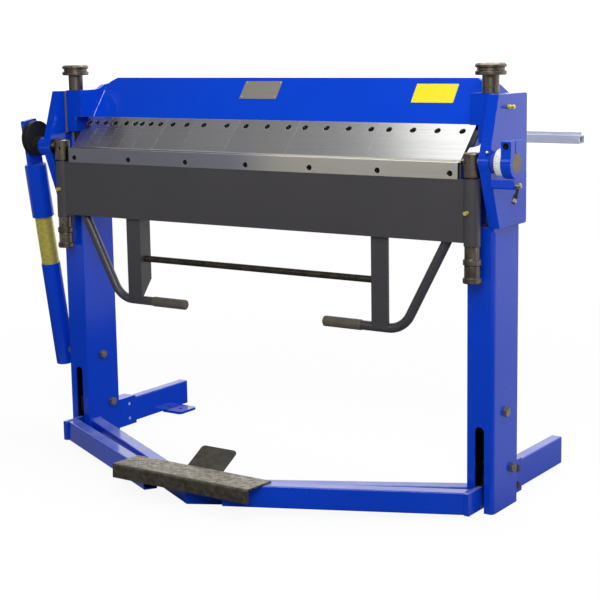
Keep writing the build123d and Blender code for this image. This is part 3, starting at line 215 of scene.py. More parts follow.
# %% Own light and shadow of the floor
NEAR, AWAY = 1.0, 3.2                     # metres from the machine's middle
NEAR_SHARE, AWAY_SHARE = 0.92, 1.0        # how much of the white is the paper's own
PAPER_SEEN, PAPER_BOUNCE = 0.95, 0.5      # paleness under the lamps, to the camera and to other rays
MIRROR_NEAR, MIRROR_AWAY = 2.2, 5.0       # the same in a mirror: distances
MIRROR_DIM, MIRROR_PALE = 0.03, 0.85      # and paleness
ray = sheet.nodes.new("ShaderNodeLightPath").outputs
direct = maths(sheet, "MAXIMUM", ray["Is Camera Ray"], product(sheet, ray["Is Glossy Ray"], paper_here))
direct = maths(sheet, "MAXIMUM", direct, ray["Is Transmission Ray"])
reach = sheet.nodes.new("ShaderNodeVectorMath")
reach.operation = "LENGTH"
join(sheet, spot, reach.inputs[0])
distance = reach.outputs["Value"]
share = product(sheet, direct, spread(sheet, distance, NEAR, AWAY, NEAR_SHARE, AWAY_SHARE))
in_mirror = spread(sheet, distance, MIRROR_NEAR, MIRROR_AWAY, MIRROR_DIM, MIRROR_PALE)
pale = maths(sheet, "ADD", product(sheet, ray["Is Camera Ray"], PAPER_SEEN - PAPER_BOUNCE), PAPER_BOUNCE)
duller = product(sheet, ray["Is Glossy Ray"], maths(sheet, "SUBTRACT", PAPER_BOUNCE, in_mirror))
matt = sheet.nodes.new("ShaderNodeBsdfDiffuse")
join(sheet, maths(sheet, "SUBTRACT", pale, duller), matt.inputs["Color"])
own = sheet.nodes.new("ShaderNodeEmission")
own.inputs["Strength"].default_value = 1.0
both = sheet.nodes.new("ShaderNodeMixShader")
join(sheet, share, both.inputs[0])
join(sheet, matt.outputs[0], both.inputs[1])
join(sheet, own.outputs[0], both.inputs[2])
join(sheet, both.outputs[0], sheet.nodes.new("ShaderNodeOutputMaterial").inputs["Surface"])
sheet_mesh.materials.append(paper)
print("finish:", paper.name)

# %% [markdown]
# ## How the finishes are put together
# A finish starts from a Principled shader and patterns over object coordinates. Those coordinates are
# the machine's own metres, so a scale of 400 means a pattern a few millimetres across on every
# piece. Small helpers cover what the finishes share: noise, a colour blend, a bump, a mask along sharp
# edges, where paint wears thin and ground steel is broken, and the distance from an axis along X.

# %% Helpers for the finishes
def start_finish(name):
    """A new material with its shader and the coordinates of the piece."""
    made = bpy.data.materials.new(name)
    made.use_nodes = True
    tree = made.node_tree
    shader = tree.nodes["Principled BSDF"]
    where = tree.nodes.new("ShaderNodeTexCoord").outputs["Object"]
    return made, tree, shader, where


def grain(tree, where, scale, detail=2.0, stretch=(1, 1, 1), rough=0.5):
    """Noise over the surface; stretch makes it finer along an axis."""
    turned = tree.nodes.new("ShaderNodeMapping")
    turned.inputs["Scale"].default_value = stretch
    join(tree, where, turned.inputs["Vector"])
    made = tree.nodes.new("ShaderNodeTexNoise")
    made.inputs["Scale"].default_value = scale
    made.inputs["Detail"].default_value = detail
    made.inputs["Roughness"].default_value = rough
    join(tree, turned.outputs[0], made.inputs["Vector"])
    return made.outputs["Fac"]


def tint(tree, amount, first, second):
    """Blend two colours; each is a socket or an RGB triple."""
    made = tree.nodes.new("ShaderNodeMix")
    made.data_type = "RGBA"
    join(tree, amount, made.inputs[0])
    for slot, colour in ((made.inputs[6], first), (made.inputs[7], second)):
        if isinstance(colour, tuple):
            slot.default_value = (*colour, 1)
        else:
            join(tree, colour, slot)
    return made.outputs[2]


FLAT, TURNED = 0.99, 0.86    # agreement of the rounded and the true normal, off and on an edge
BEVEL_SAMPLES = 4


def round_edges(tree, radius):
    """A normal that rounds sharp edges over a radius, and a mask that is 1 on them."""
    soft = tree.nodes.new("ShaderNodeBevel")
    soft.samples = BEVEL_SAMPLES
    soft.inputs["Radius"].default_value = radius
    true = tree.nodes.new("ShaderNodeNewGeometry").outputs["Normal"]
    agree = tree.nodes.new("ShaderNodeVectorMath")
    agree.operation = "DOT_PRODUCT"
    join(tree, soft.outputs[0], agree.inputs[0])
    join(tree, true, agree.inputs[1])
    return soft.outputs[0], spread(tree, agree.outputs["Value"], FLAT, TURNED, 0.0, 1.0)


def bumps(tree, shader, height, distance, normal, strength):
    """Let a pattern stand proud by a distance in metres; normal may be None."""
    made = tree.nodes.new("ShaderNodeBump")
    made.inputs["Strength"].default_value = strength
    made.inputs["Distance"].default_value = distance
    join(tree, height, made.inputs["Height"])
    if normal is not None:
        join(tree, normal, made.inputs["Normal"])
    join(tree, made.outputs[0], shader.inputs["Normal"])


def off_axis(tree, part, y, z):
    """How far a point lies from a line along X."""
    off_y = maths(tree, "SUBTRACT", part["Y"], y)
    off_z = maths(tree, "SUBTRACT", part["Z"], z)
    squares = maths(tree, "ADD", product(tree, off_y, off_y), product(tree, off_z, off_z))
    return maths(tree, "SQRT", squares)


def patchy(tree, where, scale, detail, to_low, to_high, low=0.3, high=0.7):
    """Noise spread over a range, as for roughness."""
    return spread(tree, grain(tree, where, scale, detail), low, high, to_low, to_high)


print("helpers ready")

# %% [markdown]
# ## Gloss blue paint
# The frame, the beam, the pedal and the balancer are sprayed in one blue. Spray paint has a faint
# orange-peel ripple and is slightly cloudy, and on the edges it is thin and rubbed lighter, which also
# serves as a painted highlight of the edges. A flat blue with a mirror finish would look like plastic, so
# the ripple goes into the bump and the clouds into colour and roughness. What faces up carries a little
# dust and a painted sheen, so it is greyer and paler. The guide strips inside the side plates are left
# bare, so the paint stops there, and the insides of the columns are painted black as shade.

# %% Masks
LEANING, LEVEL = 0.7, 0.97    # upward share of the normal where dust and painted sheen begin and are full


def within(tree, value, low, high):
    """1 where a value lies between two limits."""
    return product(tree, maths(tree, "GREATER_THAN", value, low), maths(tree, "LESS_THAN", value, high))


def faces_up(tree):
    """From 0 to 1 as a surface turns up to the sky."""
    normal = tree.nodes.new("ShaderNodeNewGeometry").outputs["Normal"]
    return spread(tree, axes(tree, normal)["Z"], LEANING, LEVEL, 0.0, 1.0)


print("dust begins at", LEANING)

# %% Blue paint
BLUE_DEEP, BLUE_LIGHT, BLUE_WORN_AND_LIT = (0.0010, 0.047, 0.56), (0.0018, 0.059, 0.66), (0.11, 0.19, 0.68)
DUST_AND_SHEEN, BARE_STRIP, PAINTED_SHADE_INSIDE = (0.50, 0.49, 0.50), (0.17, 0.155, 0.14), (0.004, 0.004, 0.005)
blue_paint, tree, shader, where = start_finish("blue_paint")
rounded, on_edge = round_edges(tree, 0.0025)
# Edges turn lighter: partly rubbed paint, partly a painted highlight of the edges.
rubbed = product(tree, on_edge, patchy(tree, where, 38.0, 5.0, 0.0, 0.8, 0.46, 0.70))
# Surfaces that face up get dust and a painted sheen: a pale grey mixed in where the tops catch the light.
dust_and_sheen_mask = product(tree, faces_up(tree), patchy(tree, where, 9.0, 4.0, 0.20, 0.38))
painted = tint(tree, grain(tree, where, 5.0, 4.0), BLUE_DEEP, BLUE_LIGHT)
painted = tint(tree, rubbed, painted, BLUE_WORN_AND_LIT)
painted = tint(tree, dust_and_sheen_mask, painted, DUST_AND_SHEEN)
print("finish:", blue_paint.name)

# %% Where the blue paint stops, and the painted shade inside the columns
STRIP_X, STRIP_LOW = (0.6928, 0.6969), 0.905    # bare guide strips inside the side plates
INSIDE_X, INSIDE_Y = (0.6425, 0.7055), (0.3165, 0.4385)    # inside the columns, painted black as shade
INSIDE_TOP = 0.705
part = axes(tree, where)
far_out = maths(tree, "ABSOLUTE", part["X"])
on_strip = product(tree, within(tree, far_out, *STRIP_X), maths(tree, "GREATER_THAN", part["Z"], STRIP_LOW))
painted = tint(tree, on_strip, painted, BARE_STRIP)
# Inside the columns the colour turns nearly black: painted shade.
shade_inside_mask = product(tree, within(tree, far_out, *INSIDE_X), within(tree, part["Y"], *INSIDE_Y),
                 maths(tree, "LESS_THAN", part["Z"], INSIDE_TOP))
join(tree, tint(tree, shade_inside_mask, painted, PAINTED_SHADE_INSIDE), shader.inputs["Base Color"])
print("guide strips bare above", STRIP_LOW, "m")

# %% Gloss of the blue paint
join(tree, patchy(tree, where, 14.0, 3.0, 0.27, 0.40), shader.inputs["Roughness"])
shader.inputs["Specular IOR Level"].default_value = 0.02
shader.inputs["Coat Weight"].default_value = 0.82
shader.inputs["Coat Roughness"].default_value = 0.12
bumps(tree, shader, grain(tree, where, 330.0, 1.0), 0.00025, rounded, 0.35)
print("coat of", blue_paint.name, "set")

# %% [markdown]
# ## Anthracite paint
# The folding leaf, the handles and their brackets have a satin dark grey paint. It is rougher than the
# blue, with a fine grit that scatters the light and a few greasy, smoother places.

# %% Dark paint
GREY_DEEP, GREY_LIGHT, GREY_WORN = (0.045, 0.0415, 0.049), (0.061, 0.057, 0.064), (0.20, 0.195, 0.19)
dark_paint, tree, shader, where = start_finish("dark_paint")
rounded, on_edge = round_edges(tree, 0.002)
rubbed = product(tree, on_edge, patchy(tree, where, 45.0, 5.0, 0.0, 0.55, 0.5, 0.72))
body_grey = tint(tree, grain(tree, where, 4.0, 4.0), GREY_DEEP, GREY_LIGHT)
join(tree, tint(tree, rubbed, body_grey, GREY_WORN), shader.inputs["Base Color"])
join(tree, patchy(tree, where, 11.0, 4.0, 0.40, 0.55), shader.inputs["Roughness"])
shader.inputs["Coat Weight"].default_value = 0.45
shader.inputs["Coat Roughness"].default_value = 0.25
bumps(tree, shader, grain(tree, where, 900.0, 2.0), 0.0002, rounded, 0.4)
print("finish:", dark_paint.name)

# %% [markdown]
# ## Ground steel
# Fingers and folding blade are surface-ground: straight, very fine scratches along the bed, mirror
# enough to pick up the overhead box. The scratches are noise squeezed across the bed, used in the
# roughness and the bump, and each finger gets its own slight tone because the segments were ground
# one by one. A pale painted highlight lies on the edges, so the rims of the holes and the seams between
# the fingers stand out pale. A painted reflection runs along the bed: the left end is darker and violet,
# the right end bright. The ends of the bars carry a painted shade and are dark.

# %% Ground steel
SIDEWAYS = 0.9    # share of the normal along the bed
SCRATCHES, BANDS = (3, 900, 900), (1.2, 60, 60)    # fine across the bed, long along it
PAINTED_EDGE_HIGHLIGHT, PAINTED_SHADE_END = (0.90, 0.90, 0.89), (0.050, 0.046, 0.042)
EDGE_SHARE, BRUSHED = 0.6, 0.7


def faces_sideways(tree):
    """1 on surfaces that look along the bed, such as the ends of a bar."""
    normal = tree.nodes.new("ShaderNodeNewGeometry").outputs["Normal"]
    return maths(tree, "GREATER_THAN", maths(tree, "ABSOLUTE", axes(tree, normal)["X"]), SIDEWAYS)


def ground_steel(name, left, right, change, low, high):
    """Steel scratched along X, with a painted reflection: a dark and a light tone left and right that change in
    a range of X.
    """
    made, tree, shader, where = start_finish(name)
    scratch = grain(tree, where, 1.0, 6.0, SCRATCHES, 0.7)
    band = grain(tree, where, 1.0, 3.0, BANDS)
    own_tone = tree.nodes.new("ShaderNodeObjectInfo").outputs["Random"]
    tone = product(tree, maths(tree, "ADD", band, own_tone), 0.5)
    rounded, on_edge = round_edges(tree, 0.0011)
    on_edge = product(tree, on_edge, EDGE_SHARE)
    # Painted reflection: the colour runs from dark violet at the left to bright at the right.
    painted_reflection_ramp = spread(tree, axes(tree, where)["X"], *change, 0.0, 1.0)
    body = tint(tree, tone, tint(tree, painted_reflection_ramp, left[0], right[0]), tint(tree, painted_reflection_ramp, left[1], right[1]))
    # Edges get a pale painted highlight, standing in for light on the chamfers of the holes and the seams.
    body = tint(tree, on_edge, body, PAINTED_EDGE_HIGHLIGHT)
    # The ends of the bars are painted dark: painted shade.
    join(tree, tint(tree, faces_sideways(tree), body, PAINTED_SHADE_END), shader.inputs["Base Color"])
    join(tree, spread(tree, scratch, 0.25, 0.75, low, high), shader.inputs["Roughness"])
    join(tree, maths(tree, "SUBTRACT", 1.0, on_edge), shader.inputs["Metallic"])
    shader.inputs["Anisotropic"].default_value = BRUSHED
    lie = tree.nodes.new("ShaderNodeTangent")
    lie.direction_type = "RADIAL"
    lie.axis = "X"
    join(tree, lie.outputs[0], shader.inputs["Tangent"])
    bumps(tree, shader, scratch, 0.00006, rounded, 0.5)
    print("finish:", made.name)
    return made


finger_steel = ground_steel("finger_steel", ((0.38, 0.367, 0.405), (0.48, 0.468, 0.505)),
                            ((0.58, 0.577, 0.570), (0.73, 0.73, 0.72)), (-0.65, 0.65), 0.24, 0.38)
blade_steel = ground_steel("blade_steel", ((0.48, 0.48, 0.59), (0.57, 0.57, 0.68)),
                           ((0.98, 0.937, 0.835), (1.0, 0.963, 0.870)), (-0.07, 0.15), 0.26, 0.40)

# %% [markdown]
# ## Oiled and plated steel
# Knobs, pivot heads and nuts are turned steel with a brown-black oil film; bolts are zinc plated with a
# yellowish tarnish. Both are metals with a patchy film, so one helper makes them: the film's noise
# drives the colour and the roughness together. The oiled pieces are darker on their ends, the faces
# that look along X.

# %% Filmed metals
PALE_EDGE, EDGE_WEAR = (0.5, 0.48, 0.45), 0.35


def filmed_metal(name, bare, film, low, high, metal=1.0, scale=40.0, edge=PALE_EDGE, ends=0.0, painted_shade_below=None):
    """A metal under a patchy film, bright on its edges; its ends can differ, and what does not face up can take
    a painted shade.
    """
    made, tree, shader, where = start_finish(name)
    patch = grain(tree, where, scale, 5.0, (1, 1, 1), 0.6)
    cover = spread(tree, patch, 0.3, 0.7, 0.0, 1.0)
    rounded, on_edge = round_edges(tree, 0.0012)
    body = tint(tree, cover, film, bare)
    body = tint(tree, product(tree, on_edge, EDGE_WEAR), body, edge)
    body = tint(tree, product(tree, faces_sideways(tree), ends), body, film)
    # Faces that don't look up, such as the treadle's front lip, take a darker colour: painted shade.
    if painted_shade_below:
        body = tint(tree, faces_up(tree), tint(tree, cover, *painted_shade_below), body)
    join(tree, body, shader.inputs["Base Color"])
    join(tree, spread(tree, patch, 0.3, 0.7, high, low), shader.inputs["Roughness"])
    shader.inputs["Metallic"].default_value = metal
    bumps(tree, shader, grain(tree, where, 700.0, 2.0), 0.0001, rounded, 0.3)
    print("finish:", made.name)
    return made


print("film wears off", EDGE_WEAR, "of the edges")

# %% The metals
oiled_steel = filmed_metal("oiled_steel", (0.345, 0.293, 0.235), (0.167, 0.139, 0.111), 0.25, 0.42, ends=1.0)
brown_oxide = filmed_metal("brown_oxide", (0.085, 0.070, 0.045), (0.038, 0.031, 0.021), 0.34, 0.50, metal=0.6)
black_oxide = filmed_metal("black_oxide", (0.034, 0.030, 0.028), (0.015, 0.014, 0.013), 0.40, 0.55, metal=0.5,
                           edge=(0.20, 0.17, 0.13))
worn_plate = filmed_metal("worn_plate", (0.105, 0.094, 0.074), (0.062, 0.056, 0.046), 0.40, 0.58, metal=0.5)
black_screw = filmed_metal("black_screw", (0.030, 0.027, 0.025), (0.014, 0.013, 0.012), 0.38, 0.55)
tarnished_zinc = filmed_metal("tarnished_zinc", (0.32, 0.265, 0.18), (0.13, 0.108, 0.075), 0.32, 0.5, metal=0.5)
bright_zinc = filmed_metal("bright_zinc", (0.62, 0.60, 0.55), (0.45, 0.43, 0.39), 0.25, 0.4)
dull_brass = filmed_metal("dull_brass", (0.95, 0.83, 0.17), (0.70, 0.60, 0.12), 0.30, 0.46, metal=0.55,
                          scale=110.0, edge=(0.95, 0.85, 0.45))
spring_wire = filmed_metal("spring_wire", (0.20, 0.20, 0.21), (0.10, 0.10, 0.105), 0.3, 0.45)
gauge_metal = filmed_metal("gauge_metal", (0.80, 0.83, 0.90), (0.68, 0.71, 0.78), 0.30, 0.44, metal=0.35,
                           scale=14.0, edge=(0.88, 0.89, 0.9))

# %% [markdown]
# ## Tread plate, grips and scale
# The treadle is bare tear plate gone grey-brown with use, the grips are dark rubber with fine rings,
# and the scale drum is white enamel on a blue hub, its engraved lines filled with black. The lines are
# real grooves, so the black is laid on wherever a point lies deeper than the drum's skin.

# %% Tread plate and rubber
# The tread plate's lip and its other faces that don't look up carry a painted shade.
tread_steel = filmed_metal("tread_steel", (0.330, 0.296, 0.234), (0.190, 0.168, 0.132), 0.36, 0.56, metal=0.7,
                           scale=60.0, edge=(0.44, 0.40, 0.33),
                           painted_shade_below=((0.092, 0.081, 0.065), (0.190, 0.170, 0.137)))
RING_PITCH = 0.006
grip_rubber, tree, shader, where = start_finish("grip_rubber")
body = tint(tree, grain(tree, where, 60.0, 4.0), (0.084, 0.071, 0.050), (0.138, 0.119, 0.089))
join(tree, body, shader.inputs["Base Color"])
join(tree, patchy(tree, where, 90.0, 3.0, 0.45, 0.62), shader.inputs["Roughness"])
rings = maths(tree, "SINE", product(tree, axes(tree, where)["X"], 2 * math.pi / RING_PITCH))
bumps(tree, shader, rings, 0.0004, None, 0.6)
print("finish:", grip_rubber.name)

# %% Scale drum
drum_low, drum_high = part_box("protractor_drum")
drum_middle = (drum_low + drum_high) / 2
drum_skin = (drum_high.z - drum_low.z) / 2
HUB_LONG = 0.0138
LINE_DEPTHS = 0.0009, 0.0003    # deepest and shallowest point that counts as a line
drum_enamel, tree, shader, where = start_finish("drum_enamel")
part = axes(tree, where)
far = off_axis(tree, part, drum_middle.y, drum_middle.z)
on_rim = maths(tree, "GREATER_THAN", part["X"], drum_low.x + HUB_LONG)
in_line = product(tree, on_rim, within(tree, far, *(drum_skin - depth for depth in LINE_DEPTHS)))
enamel = tint(tree, grain(tree, where, 120.0, 4.0), (0.80, 0.79, 0.75), (0.90, 0.89, 0.86))
scale = tint(tree, in_line, enamel, (0.012, 0.012, 0.013))
join(tree, tint(tree, on_rim, (0.012, 0.050, 0.42), scale), shader.inputs["Base Color"])
join(tree, patchy(tree, where, 200.0, 2.0, 0.32, 0.45), shader.inputs["Roughness"])
bumps(tree, shader, grain(tree, where, 500.0, 1.0), 0.0001, None, 0.2)
print("drum skin radius", round(drum_skin, 4))

# %% [markdown]
# ## The two plates on the beam
# A small metal plate and a yellow label sit on the beam's slope, both left blank. They are one node, so
# a single finish tells them apart by where they are along the beam: the label is at the right.

# %% Blank plates
LABEL_FROM = 0.2
plate_faces, tree, shader, where = start_finish("plate_faces")
is_label = maths(tree, "GREATER_THAN", axes(tree, where)["X"], LABEL_FROM)
brushed = grain(tree, where, 1.0, 4.0, (8, 700, 700))
plate_tone = tint(tree, brushed, (0.33, 0.315, 0.275), (0.44, 0.42, 0.37))
label_tone = tint(tree, grain(tree, where, 30.0, 3.0), (0.82, 0.70, 0.004), (0.90, 0.78, 0.008))
join(tree, tint(tree, is_label, plate_tone, label_tone), shader.inputs["Base Color"])
join(tree, maths(tree, "SUBTRACT", 0.55, product(tree, brushed, 0.25)), shader.inputs["Roughness"])
join(tree, product(tree, maths(tree, "SUBTRACT", 1.0, is_label), 0.6), shader.inputs["Metallic"])
bumps(tree, shader, brushed, 0.00005, None, 0.3)
print("finish:", plate_faces.name)

# %% [markdown]
# ## Leg bolts
# The bolts of the rear legs have black heads on the outside, and their ends on the inner side were painted
# with the frame, paler by a painted highlight. The distance from the middle of the machine tells the two apart.

# %% Leg bolts
HEADS_FROM = 0.66
leg_bolt_steel, tree, shader, where = start_finish("leg_bolt_steel")
is_head = maths(tree, "GREATER_THAN", maths(tree, "ABSOLUTE", axes(tree, where)["X"]), HEADS_FROM)
black_tone = tint(tree, grain(tree, where, 120.0, 4.0), (0.012, 0.012, 0.012), (0.030, 0.028, 0.026))
# The bolt ends are far paler than the frame blue: a painted highlight on them.
painted_highlight_end_tone = tint(tree, grain(tree, where, 200.0, 3.0), BLUE_WORN_AND_LIT, (0.52, 0.58, 0.80))
join(tree, tint(tree, is_head, painted_highlight_end_tone, black_tone), shader.inputs["Base Color"])
join(tree, patchy(tree, where, 300.0, 2.0, 0.34, 0.5), shader.inputs["Roughness"])
bumps(tree, shader, grain(tree, where, 700.0, 2.0), 0.0001, None, 0.3)
print("finish:", leg_bolt_steel.name)

# %% [markdown]
# ## Clamp lever
# The little lever under the scale is blacked, but its hub and the end of its handle are bright from
# use. One finish does both: it measures how far a point lies from the lever's own axis.

# %% Clamp lever
LEVER_Y, LEVER_Z, HUB_R, TIP_R = 0.273, 0.8305, 0.0085, 0.036
lever_steel, tree, shader, where = start_finish("lever_steel")
far = off_axis(tree, axes(tree, where), LEVER_Y, LEVER_Z)
on_hub, on_tip = maths(tree, "LESS_THAN", far, HUB_R), maths(tree, "GREATER_THAN", far, TIP_R)
bright = maths(tree, "MAXIMUM", on_hub, on_tip)
patch = grain(tree, where, 150.0, 4.0)
black_tone = tint(tree, patch, (0.012, 0.012, 0.013), (0.028, 0.027, 0.026))
bright_tone = tint(tree, patch, (0.30, 0.29, 0.27), (0.46, 0.45, 0.42))
join(tree, tint(tree, bright, black_tone, bright_tone), shader.inputs["Base Color"])
join(tree, spread(tree, patch, 0.3, 0.7, 0.28, 0.45), shader.inputs["Roughness"])
join(tree, product(tree, bright, 0.9), shader.inputs["Metallic"])
shader.inputs["Specular IOR Level"].default_value = 0.2
bumps(tree, shader, grain(tree, where, 800.0, 1.0), 0.0001, None, 0.3)
print("finish:", lever_steel.name)

# %% [markdown]
# ## Who wears what
# Every CAD node keeps its shape and only gets its finish. The list goes by finish, so a piece that is
# forgotten shows up at once in the count.

# %% Give the CAD pieces their finishes
FINGERS = [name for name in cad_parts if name.startswith("finger_") and name != "finger_screws"]
worn_by = {
    blue_paint: ["column_left", "column_right", "side_plate_left", "side_plate_right", "base_frame",
                 "rear_legs", "lower_beam", "upper_beam", "strut_lower_tube", "strut_upper_tube",
                 "pedal_arms", "stop_bracket", "stop_collar"],
    dark_paint: ["folding_beam", "handle_brackets", "handles"],
    brown_oxide: ["cross_rod", "pull_rods"],
    black_oxide: ["crank_disc"],
    worn_plate: ["release_pedal"],
    finger_steel: FINGERS,
    blade_steel: ["folding_blade", "bed_bar"],
    oiled_steel: ["clamp_knob_left", "clamp_knob_right", "pivot_head_left", "pivot_head_right",
                  "height_nuts_left", "height_nuts_right"],
    black_screw: ["finger_screws", "blade_screws", "collar_screw"],
    leg_bolt_steel: ["leg_bolts"],
    lever_steel: ["clamp_lever"],
    tarnished_zinc: ["release_pin", "column_bolts", "strut_anchor_bolt"],
    bright_zinc: ["index_pin"],
    dull_brass: ["plate_grease_nipples", "tube_grease_nipples", "strut_inner_tube"],
    spring_wire: ["lift_springs"],
    gauge_metal: ["gauge_bar", "gauge_rails", "gauge_carriers"],
    drum_enamel: ["protractor_drum"],
    tread_steel: ["treadle"],
    grip_rubber: ["hand_grips"],
    plate_faces: ["blank_plates"],
}
dressed = set()
for finish, names in worn_by.items():
    for name in names:
        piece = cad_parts[name]
        piece.data.materials.clear()
        piece.data.materials.append(finish)
        dressed.add(name)
missing = sorted(set(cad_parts) - dressed)
print("dressed", len(dressed), "of", len(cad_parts), "missing", missing)

# %% [markdown]
# ## Tears of the tread plate
# Tear plate has raised lens-shaped tears that lie crosswise in turn, so a shoe can't slip. Each tear is
# a low dome on a pointed oval. They are modelled, not bumped, because the edge of the plate shows
# them from the side. One mesh holds those of the top and of the front lip. The lip leans back a little,
# so its tears are held to the plate's foremost point.

# %% One tear
TEAR_LONG, TEAR_WIDE, TEAR_HIGH, TEAR_POINTS = 0.0165, 0.0052, 0.0008, 16
TEAR_POINTED = 0.35                       # how far the oval narrows to its points
SHOULDER = (0.62, 0.6, 0.85)              # the dome's inner ring: share of length, width and height


def tear(mesh, middle, along, out):
    """One lens-shaped tear at middle, long along one direction and raised along another."""
    side = out.cross(along)
    long, wide, high = SHOULDER
    rim, ring = [], []
    for i in range(TEAR_POINTS):
        a = 2 * math.pi * i / TEAR_POINTS
        u = math.cos(a) * TEAR_LONG / 2
        v = math.sin(a) * TEAR_WIDE / 2 * (1 - TEAR_POINTED * math.cos(a) ** 2)
        rim.append(mesh.verts.new(middle + along * u + side * v))
        ring.append(mesh.verts.new(middle + along * u * long + side * v * wide + out * TEAR_HIGH * high))
    top = mesh.verts.new(middle + out * TEAR_HIGH)
    for i in range(TEAR_POINTS):
        j = (i + 1) % TEAR_POINTS
        mesh.faces.new((rim[i], rim[j], ring[j], ring[i]))
        mesh.faces.new((ring[i], ring[j], top))


print("tear", TEAR_LONG, "by", TEAR_WIDE, "m")

# %% Tears over the plate
TEAR_STEP, TEAR_TURN = 0.0160, 45


def tear_field(mesh, corner, across, up, out, wide, high):
    """Fill a rectangle with tears that alternate in direction."""
    made = 0
    columns, rows = int(wide / TEAR_STEP), max(1, int(high / TEAR_STEP))
    for i in range(columns):
        for j in range(rows):
            u = (i + 0.5) * wide / columns
            v = (j + 0.5) * high / rows
            turn = math.radians(TEAR_TURN if (i + j) % 2 else -TEAR_TURN)
            along = across * math.cos(turn) + up * math.sin(turn)
            tear(mesh, corner + across * u + up * v, along, out)
            made += 1
    return made


TREAD_TILT = math.atan(0.038)
TREAD_DEPTH, LIP_HIGH, LIP_THICK, BEND = 0.102, 0.038, 0.005, 0.0085
MARGIN, SUNK, EDGE_FREE = 0.004, 0.0001, 0.002
X = Vector((1, 0, 0))
to_rear = Vector((0, math.cos(TREAD_TILT), -math.sin(TREAD_TILT)))
out_top = Vector((0, math.sin(TREAD_TILT), math.cos(TREAD_TILT)))
tread_low, tread_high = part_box("treadle")
tread_wide = tread_high.x - tread_low.x - 2 * MARGIN
lip_foot = Vector((tread_low.x + MARGIN, tread_low.y, tread_low.z + LIP_THICK * math.sin(TREAD_TILT)))
top_corner = lip_foot + out_top * (LIP_HIGH - SUNK) + to_rear * BEND
lip_corner = lip_foot + to_rear * SUNK + out_top * EDGE_FREE
plate = bmesh.new()
tears = tear_field(plate, top_corner, X, to_rear, out_top, tread_wide, TREAD_DEPTH - BEND - EDGE_FREE)
tears += tear_field(plate, lip_corner, X, out_top, -to_rear, tread_wide, LIP_HIGH - BEND - EDGE_FREE)
for point in plate.verts:
    point.co.y = max(point.co.y, tread_low.y)
print("tears:", tears)

# %% A mesh becomes a piece
def stand_up(name, mesh, finish, body):
    """Turn a bmesh into a piece that rides on a body."""
    bmesh.ops.recalc_face_normals(mesh, faces=mesh.faces)
    data = bpy.data.meshes.new(name)
    mesh.to_mesh(data)
    mesh.free()
    data.materials.append(finish)
    data.polygons.foreach_set("use_smooth", [True] * len(data.polygons))
    piece = bpy.data.objects.new(name, data)
    scene.collection.objects.link(piece)
    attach(piece, body)
    print("piece", name, "rides on", body)


stand_up("tread_tears", plate, tread_steel, "pedal")

# %% [markdown]
# ## Weld beads
# Frame, pedal and leaf are welded, and each joint shows a bead with small overlapping ripples under the
# paint. A bead is a row of rings along the joint; every ring is a little thicker or thinner than the
# next, which gives the ripple. A smooth tube would look like a cord laid into the corner.

# %% One bead
RIPPLE, FEWEST, SIDES = 0.0016, 4, 8
THICKER, THINNER = 1.10, 0.94            # every other ring
SWELL, SWELL_SCALE = 0.16, 160.0         # slow change of thickness along the bead
BEAD_END = 0.45


def bead(mesh, start, end, radius):
    """A rippled weld bead from start to end."""
    start, end = Vector(start), Vector(end)
    forward = (end - start).normalized()
    side = forward.orthogonal().normalized()
    over = forward.cross(side)
    steps = max(FEWEST, int((end - start).length / RIPPLE))
    around = [2 * math.pi * k / SIDES for k in range(SIDES)]
    spokes = [side * math.cos(a) + over * math.sin(a) for a in around]
    rows = []
    for i in range(steps + 1):
        middle = start.lerp(end, i / steps)
        thick = radius * ((THICKER if i % 2 else THINNER) + SWELL * noise.noise(middle * SWELL_SCALE))
        if i in (0, steps):
            thick *= BEAD_END
        rows.append([mesh.verts.new(middle + spoke * thick) for spoke in spokes])
    for lower, upper in zip(rows, rows[1:]):
        for k in range(SIDES):
            n = (k + 1) % SIDES
            mesh.faces.new((lower[k], lower[n], upper[n], upper[k]))
    mesh.faces.new(rows[0])
    mesh.faces.new(rows[-1])


print("bead rings", RIPPLE, "m apart")

# %% Beads on the frame, the pedal and the leaf
FRAME_BEADS = (
    ((0.6365, 0.322, 0.0585), (0.6365, 0.361, 0.0585), 0.0030),
    ((0.6365, 0.3195, 0.008), (0.6365, 0.3195, 0.056), 0.0030),
    ((0.6475, 0.408, 0.0078), (0.6475, 0.482, 0.0078), 0.0026),
)
PEDAL_BEADS = (
    ((0.6655, 0.250, 0.0672), (0.6655, 0.286, 0.0660), 0.0024),
    ((0.6655, 0.2456, 0.014), (0.6655, 0.2456, 0.065), 0.0024),
)
LEAF_BEADS = (
    ((0.3830, 0.2748, 0.4585), (0.4320, 0.2748, 0.4585), 0.0022),
    ((0.4325, 0.2760, 0.6872), (0.3825, 0.2760, 0.6872), 0.0022),
    ((0.3823, 0.2770, 0.6872), (0.3823, 0.3160, 0.6872), 0.0022),
)


def bead_set(name, rows, finish, body):
    """The beads of one body, on both sides of the machine."""
    mesh = bmesh.new()
    for start, end, radius in rows:
        for side in (-1, 1):
            bead(mesh, (side * start[0], *start[1:]), (side * end[0], *end[1:]), radius)
    stand_up(name, mesh, finish, body)
    print(name, 2 * len(rows), "beads")


bead_set("frame_welds", FRAME_BEADS, blue_paint, "frame")
bead_set("pedal_welds", PEDAL_BEADS, blue_paint, "pedal")
bead_set("leaf_welds", LEAF_BEADS, dark_paint, "folding_leaf")

# %% [markdown]
# ## Joint of the beam's end plates
# At both ends of the beam the sloped front meets the end plate's edge in a filled joint, where the
# paint has cracked and shows the pale filler. It is a very thin bead in a finish that breaks up
# between filler and paint.

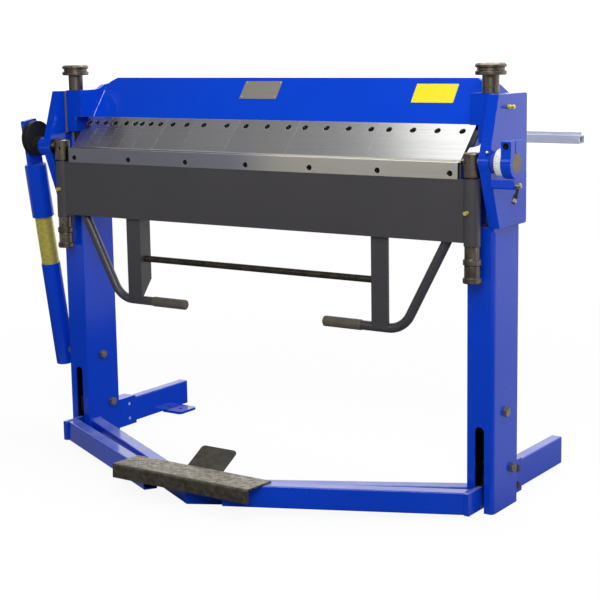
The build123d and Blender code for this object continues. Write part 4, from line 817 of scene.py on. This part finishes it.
# %% End joints
SEAM_X, SEAM_R = 0.6238, 0.0008
SEAM_LOW, SEAM_HIGH = (0.3648, 0.9690), (0.4262, 1.0530)
cracked_filler, tree, shader, where = start_finish("cracked_filler")
broken = patchy(tree, where, 55.0, 4.0, 0.0, 1.0, 0.42, 0.58)
join(tree, tint(tree, broken, BLUE_LIGHT, (0.66, 0.70, 0.80)), shader.inputs["Base Color"])
join(tree, spread(tree, broken, 0.0, 1.0, 0.35, 0.6), shader.inputs["Roughness"])
bumps(tree, shader, grain(tree, where, 600.0, 2.0), 0.0001, None, 0.4)
bead_set("end_joints", (((SEAM_X, *SEAM_LOW), (SEAM_X, *SEAM_HIGH), SEAM_R),), cracked_filler,
         "clamping_beam")

# %% [markdown]
# ## Rivets of the plate
# The blank metal plate is held by four small drive rivets. Each is a shallow dome, built from three
# rings and a top point, standing on the plate's own slope.

# %% Plate rivets
PLATE_MIDDLE = Vector((-0.056, 0.42051, 1.0450))
PLATE_OUT = Vector((0, -0.8073, 0.5901))
PLATE_UP = Vector((0, 0.5901, 0.8073))
PLATE_THICK, RIVET_SUNK = 0.0012, 0.0002
RIVET_ACROSS, RIVET_UP = 0.056, 0.0235    # from the middle of the plate
RIVET_R, RIVET_HIGH, RIVET_POINTS = 0.0026, 0.0012, 12
RIVET_RINGS = ((1.0, 0.0), (0.92, 0.55), (0.6, 0.9))    # share of radius and of height
rivets = bmesh.new()


def rivet(foot):
    """One dome on the plate."""
    rows = []
    for reach, rise in RIVET_RINGS:
        ring = []
        for k in range(RIVET_POINTS):
            a = 2 * math.pi * k / RIVET_POINTS
            spoke = X * math.cos(a) + PLATE_UP * math.sin(a)
            ring.append(rivets.verts.new(foot + spoke * RIVET_R * reach + PLATE_OUT * RIVET_HIGH * rise))
        rows.append(ring)
    crown = rivets.verts.new(foot + PLATE_OUT * RIVET_HIGH)
    for k in range(RIVET_POINTS):
        n = (k + 1) % RIVET_POINTS
        for lower, upper in zip(rows, rows[1:]):
            rivets.faces.new((lower[k], lower[n], upper[n], upper[k]))
        rivets.faces.new((rows[-1][k], rows[-1][n], crown))
    rivets.faces.new(rows[0])


for u in (-RIVET_ACROSS, RIVET_ACROSS):
    for v in (-RIVET_UP, RIVET_UP):
        rivet(PLATE_MIDDLE + X * u + PLATE_UP * v + PLATE_OUT * (PLATE_THICK - RIVET_SUNK))
stand_up("plate_rivets", rivets, bright_zinc, "clamping_beam")

# %% [markdown]
# ## Last step
# The view layer is brought up to date at the end. The visual model has to stay inside
# the CAD box.

# %% Update
bpy.context.view_layer.update()
